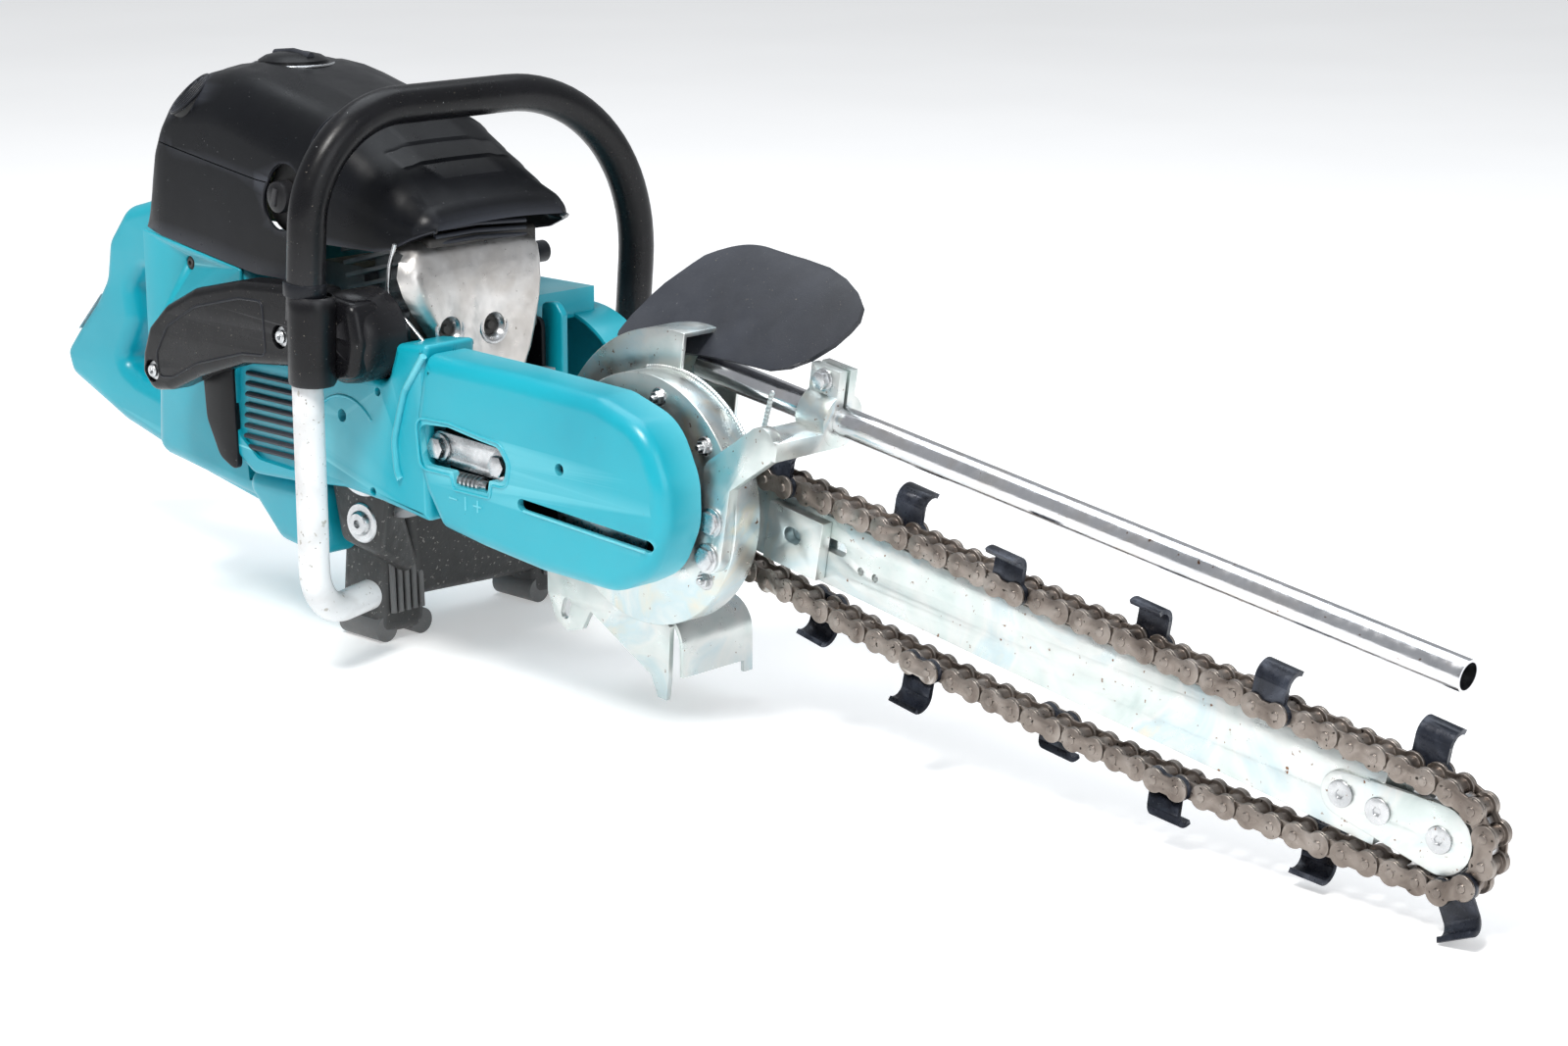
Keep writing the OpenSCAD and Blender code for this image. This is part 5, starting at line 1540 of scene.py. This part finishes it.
@dataclass
class MufflerGuard:
    """Bright pressed guard over the muffler, with two flared vents and a heat shield edge."""

    rows: tuple[tuple[float, float, float, float], ...] = (
        (60, 297, -30, 74), (78, 297, -34, 75), (90, 295, -36, 76), (98, 291, -38, 77), (102.5, 284, -43, 78),
        (104.5, 275, -47, 78), (105.5, 262, -43, 77.5), (105.5, 250, -36, 76), (105, 240, -27, 74),
        (104.5, 228, -18, 71), (104, 215, -8, 67), (103, 202, 2, 61), (101, 196, 6, 58),
    )
    vents: tuple[Flat, ...] = ((-9, 236), (30, 234))
    vent_axis: Point = (1, 0, 0.06)

    def build(self) -> None:
        """Build the pressed sheet, its vents and the shield's rim."""
        rows = []
        for x, z, right, left in self.rows:
            row = []
            for step in range(37):
                share = step / 36
                y = right + (left - right) * share
                edge = max(0.0, 1 - min(share, 1 - share) * 12)
                dish = sum(-3.2 * math.exp(-(((y - cy) / 13) ** 2 + ((z - cz) / 15) ** 2)) for cy, cz in self.vents)
                crease = -2.2 * math.exp(-(((y - 10.5) / 4.5) ** 2)) * (1.0 if z < 262 else 0.3)
                flat = 1.0 if x > 100 else 0.25
                row.append((x - 9 * edge**2 * (1 if x > 95 else 0) + (dish + crease) * flat, y,
                            z - (7 * edge**2 if x <= 98 else 0)))
            rows.append(row)
        sheet = skin("muffler_guard_sheet", rows, 1.6, 40)
        tools = [turned("bore", ((0, -20), (9.3, -20), (9.3, 20), (0, 20)), (104, y, z), self.vent_axis)
                 for y, z in self.vents]
        sheet = cut(sheet, *tools)
        put(smooth(sheet, 40), Body.MACHINE, "muffler_steel", None, "muffler_guard")
        flare = turned("flare", ((6.4, -6), (7.4, -2), (9.4, 0.6), (11.0, 1.9), (12.4, 1.9), (13.0, 1.0), (12.4, 0.2),
                                 (10.6, 0.2), (8.6, -1.6), (7.6, -6)), (0, 0, 0))
        spots = [Spot((102.6, y, z), self.vent_axis) for y, z in self.vents]
        put(COPIES.make("muffler_vents", flare, spots, "bright_steel"), Body.MACHINE, None, "muffler_steel")
        core = turned("core", ((0, -7), (6.6, -7), (6.6, -4.5), (3.4, -4.5), (2.6, -2.5), (0, -2.2)), (0, 0, 0),
                      segments=24)
        put(COPIES.make("muffler_vent_cores", core, spots, "dark_metal"), Body.MACHINE, None, "muffler_steel")
        fin = plate("fin", fillet([(80, 183, 2), (103, 183, 2), (103, 233, 5), (96, 241, 8), (82, 239, 5)]), 93, 99,
                    edge=1.6, steps=3)
        put(fin, Body.MACHINE, "teal_plastic", "teal_plastic")
        # Black plate beside the teal fin: painted shade, not a part.
        shade = plate("fin_shade", fillet([(64, 183, 2), (92, 183, 2), (92, 230, 8), (64, 232, 8)]), 84, 88, edge=1.0)
        put(shade, Body.MACHINE, "black_plastic", "black_plastic")
        edge = [(87, -41, 296), (82, -42, 281), (79, -42, 262), (86, -41, 253), (96, -40, 245), (107, -38, 235),
                (116, -36, 227)]
        rim = wire("heat_shield_edge", [tuple(p) for p in bent_path([(*p, 12) for p in edge], 5)], 1.5, closed=False)
        put(rim, Body.MACHINE, "bright_steel", "muffler_steel")


# ---------------------------------------------------------------- deflector, welds and bolts


@dataclass
class Deflector:
    """Curved rubber deflector over the chain's rear end."""

    plan: tuple[tuple[float, float, float, float], ...] = (
        (27, 230, 366, 240), (29, 229, 382, 243), (34, 229, 396, 249), (42, 229, 408, 258), (50, 230, 413.5, 266),
        (57, 232, 415, 272), (65, 236, 411, 279), (73, 241, 400, 285), (81, 246, 383, 291), (88, 250, 362, 295.5),
        (94, 255, 334, 298), (98, 261, 308, 300),
    )

    def build(self) -> None:
        """Build the curved sheet."""
        rows = []
        for y, rear, front, z in self.plan:
            row = []
            for step in range(41):
                share = step / 40
                x = rear + (front - rear) * share
                lift = 9.0 * max(0.0, 1 - (x - rear) / 30) * max(0.0, 1 - (y - 27) / 22) + 4.0 * math.sin(share * 3.0)
                row.append((x, y, z + lift - 2.5 + 0.035 * (x - 320)))
            rows.append(row)
        sheet = skin("deflector_sheet", rows, 3.6, 50)
        put(sheet, Body.MACHINE, "flap_rubber", None, "deflector_flap")


@dataclass
class Welds:
    """Weld seams and bolts on the round housing."""

    centre: Flat = (294, 152)
    seam: float = 82.5
    bolt_circle: float = 70.0
    bolt_turns: tuple[float, ...] = (-22, -38, 38, 78, 118)

    def about(self, radius: float, y: float, angle: float) -> Point:
        """A point at an angle on a circle round the housing's middle."""
        return (self.centre[0] + radius * math.cos(angle), y, self.centre[1] + radius * math.sin(angle))

    def build(self) -> None:
        """Place the beads and bolts."""
        beads = []
        for i in range(56):
            beads.append(Spot(self.about(self.seam, 9.3, math.radians(20 + i * 1.5)), (0.5, -1, 0.5)))
        for i in range(14):
            beads.append(Spot((372 + i * 0.8, 12.6, 196 + i * 2.6), (0.3, -1, 0.2)))
        put(COPIES.make("weld_beads", weld_bead(1.9), beads, "zinc_plate", 3.0), Body.MACHINE, None, "zinc_plate")
        bolts = [Spot(self.about(self.bolt_circle, -13.2, math.radians(turn))) for turn in self.bolt_turns]
        put(COPIES.make("housing_bolts", hex_bolt(8, 4, 6.5), bolts, "bright_steel", 3.0), Body.MACHINE, None,
            "zinc_plate")


@dataclass
class StarterTrim:
    """Ridges and screws on the starter cover's round face."""

    centre: Flat = (54, 152)
    face: float = 167.0
    ridges: tuple[float, ...] = (24, 35, 46, 57)
    screw_circle: float = 66.0
    screw_turns: tuple[float, ...] = (20, 92, 164, 236, 308)

    def build(self) -> None:
        """Add the ridges and the rim screws."""
        rings = [lathe("ring", ((r - 2.0, self.face - 0.5), (r + 2.0, self.face - 0.5), (r + 1.2, self.face + 1.3),
                                (r - 1.2, self.face + 1.3)), self.centre, 72) for r in self.ridges]
        cap = lathe("cap", ((0, self.face - 0.5), (12, self.face - 0.5), (11, self.face + 2.0), (8, self.face + 3.0),
                            (0, self.face + 3.2)), self.centre, 48, closed=False)
        put(joined("starter_cover_ridges", (*rings, cap)), Body.MACHINE, "teal_plastic", "teal_plastic")
        spots = []
        for turn in self.screw_turns:
            x = self.centre[0] + self.screw_circle * math.cos(math.radians(turn))
            z = self.centre[1] + self.screw_circle * math.sin(math.radians(turn))
            spots.append(Spot((x, self.face + 1.0, z), (0.0, 1.0, 0.0)))
        put(COPIES.make("starter_screws", socket_bolt(3.2, 2.4), spots, "bright_steel", 3.0), Body.MACHINE, None,
            "bright_steel")


# ---------------------------------------------------------------- machine pieces that keep their CAD shape


@dataclass
class PlainParts:
    """CAD nodes that keep their shape, with their edges rounded in a copy."""

    edge: dict[str, float] = field(
        default_factory=lambda: {
            "guide_bar": 0.5, "nose_plates": 0.8, "nose_sprocket": 0.3, "drive_sprocket": 0.4,
            "drive_shaft": 0.5, "shaft_bearings": 0.3, "driven_pulley": 0.5, "chain_top": 0.35, "chain_nose": 0.35,
            "chain_bottom": 0.35, "chain_drive": 0.35, "cutters_top": 0.5, "cutter_nose": 0.5, "cutters_bottom": 0.5,
            "cutter_drive": 0.5, "trencher_housing": 0.8, "chain_shield": 0.6, "clamp_bracket": 1.2, "bar_mount": 0.8,
            "lower_guard": 0.6, "belt_arm": 1.0, "tension_plate": 0.5, "crankcase": 2.0,
            "engine_cylinder": 0.5, "clutch_drum": 0.6, "carburettor": 1.0, "air_filter": 3.0, "muffler": 3.0,
            "starter_cover": 2.0, "spark_plug": 0.5,
            "throttle_trigger": 2.0, "throttle_lock": 2.0, "stop_switch": 1.0, "choke_lever": 1.5, "fuel_cap": 3.0,
            "starter_grip": 2.0, "hex_fasteners": 0.4, "nose_screws": 0.4, "rear_housing": 5.0, "lower_tube": 0.3,
        }
    )

    def build(self, skip: set[str]) -> None:
        """Round and dress every listed node.

        Args:
            skip: nodes that another piece replaces.
        """
        for node, width in self.edge.items():
            if node in skip or node not in frame["nodes"]:
                continue
            piece = rounded_copy(node, width)
            put(piece, BODY_OF[node], SLOT_OF[node], None, node)

    def dress_rest(self) -> None:
        """Give every CAD node that is still shown its finish."""
        for node, obj in frame["nodes"].items():
            PAINT.coat(obj, SLOT_OF[node] if SLOT_OF[node] in FINISHES else "bright_steel")


# ---------------------------------------------------------------- studio


@dataclass
class Studio:
    """Floor, light and camera."""

    camera_at: Point = (1.699, -1.362, 0.630)
    right: Point = (0.725, 0.689, 0.001)
    forward: Point = (-0.668, 0.703, -0.246)
    lens: float = 72.16
    sensor: float = 36.0
    floor_glow: float = 0.36
    sky_strength: float = 0.42

    def build(self) -> None:
        """Make the whole studio."""
        self.floor()
        self.lights()
        self.camera()

    def floor(self) -> None:
        """A plain pale floor under the object."""
        bm = bmesh.new()
        bmesh.ops.create_grid(bm, x_segments=1, y_segments=1, size=12.0)
        ground = from_bmesh("floor", bm)
        graph = Graph("pale_floor")
        tone = graph.ramp(graph.noise(2.0), ((0.3, (0.80, 0.80, 0.80)), (0.7, (0.84, 0.84, 0.84))))
        graph.link(tone, graph.shader.inputs["Base Color"])
        graph.shader.inputs["Roughness"].default_value = 0.85
        graph.shader.inputs["Emission Color"].default_value = (1.0, 1.0, 1.0, 1.0)
        graph.shader.inputs["Emission Strength"].default_value = self.floor_glow
        ground.data.materials.append(graph.material)

    def lights(self) -> None:
        """A pale sky and three soft lamps."""
        world = bpy.data.worlds.new("studio_sky")
        world.use_nodes = True
        bpy.context.scene.view_settings.view_transform = "Standard"
        background = world.node_tree.nodes["Background"]
        background.inputs["Color"].default_value = (0.93, 0.96, 1.0, 1.0)
        background.inputs["Strength"].default_value = self.sky_strength
        bpy.context.scene.world = world
        self.lamp("key", (0.9, -1.7, 2.9), (0.05, 0.0, 0.15), 88.0, 0.8, (1.0, 0.98, 0.95))
        self.lamp("top", (-0.4, 0.6, 3.2), (0.1, 0.0, 0.1), 50.0, 2.4, (0.90, 0.95, 1.0))
        self.lamp("fill", (3.2, -0.6, 1.3), (0.2, 0.0, 0.15), 24.0, 1.8, (0.95, 0.97, 1.0))

    def lamp(self, name: str, at: Point, aim: Point, power: float, size: float, tint: Colour) -> None:
        """One square area lamp.

        Args:
            name: name of the lamp.
            at: its place in metres.
            aim: the point that it faces.
            power: power in watts.
            size: side length in metres.
            tint: light colour.
        """
        data = bpy.data.lights.new(name, "AREA")
        data.energy = power
        data.size = size
        data.color = tint
        lamp = bpy.data.objects.new(name, data)
        lamp.location = at
        lamp.rotation_euler = (Vector(aim) - Vector(at)).to_track_quat("-Z", "Y").to_euler()
        bpy.context.scene.collection.objects.link(lamp)

    def camera(self) -> None:
        """The camera, turned by its right and forward directions."""
        data = bpy.data.cameras.new("camera")
        data.lens = self.lens
        data.sensor_width = self.sensor
        data.clip_end = 50.0
        camera = bpy.data.objects.new("camera", data)
        ahead = Vector(self.forward).normalized()
        right = Vector(self.right)
        right = (right - ahead * right.dot(ahead)).normalized()
        up = right.cross(ahead)
        turn = Matrix((right, up, -ahead)).transposed().to_4x4()
        camera.matrix_world = Matrix.Translation(self.camera_at) @ turn
        bpy.context.scene.collection.objects.link(camera)
        bpy.context.scene.camera = camera


ASSEMBLIES = (Hood, RearHandle, BeltGuard, ClutchCover, Bracket, FrontHandle, Foot, MufflerGuard, Deflector, Welds,
              StarterTrim)


def main() -> None:
    """Build the whole scene."""
    Studio().build()
    for assembly in ASSEMBLIES:
        assembly().build()
    replaced = {node for obj in bpy.data.objects for node in REPLACED.get(obj.name, ())}
    parts = PlainParts()
    parts.build(replaced)
    parts.dress_rest()


if __name__ == "__main__":
    main()
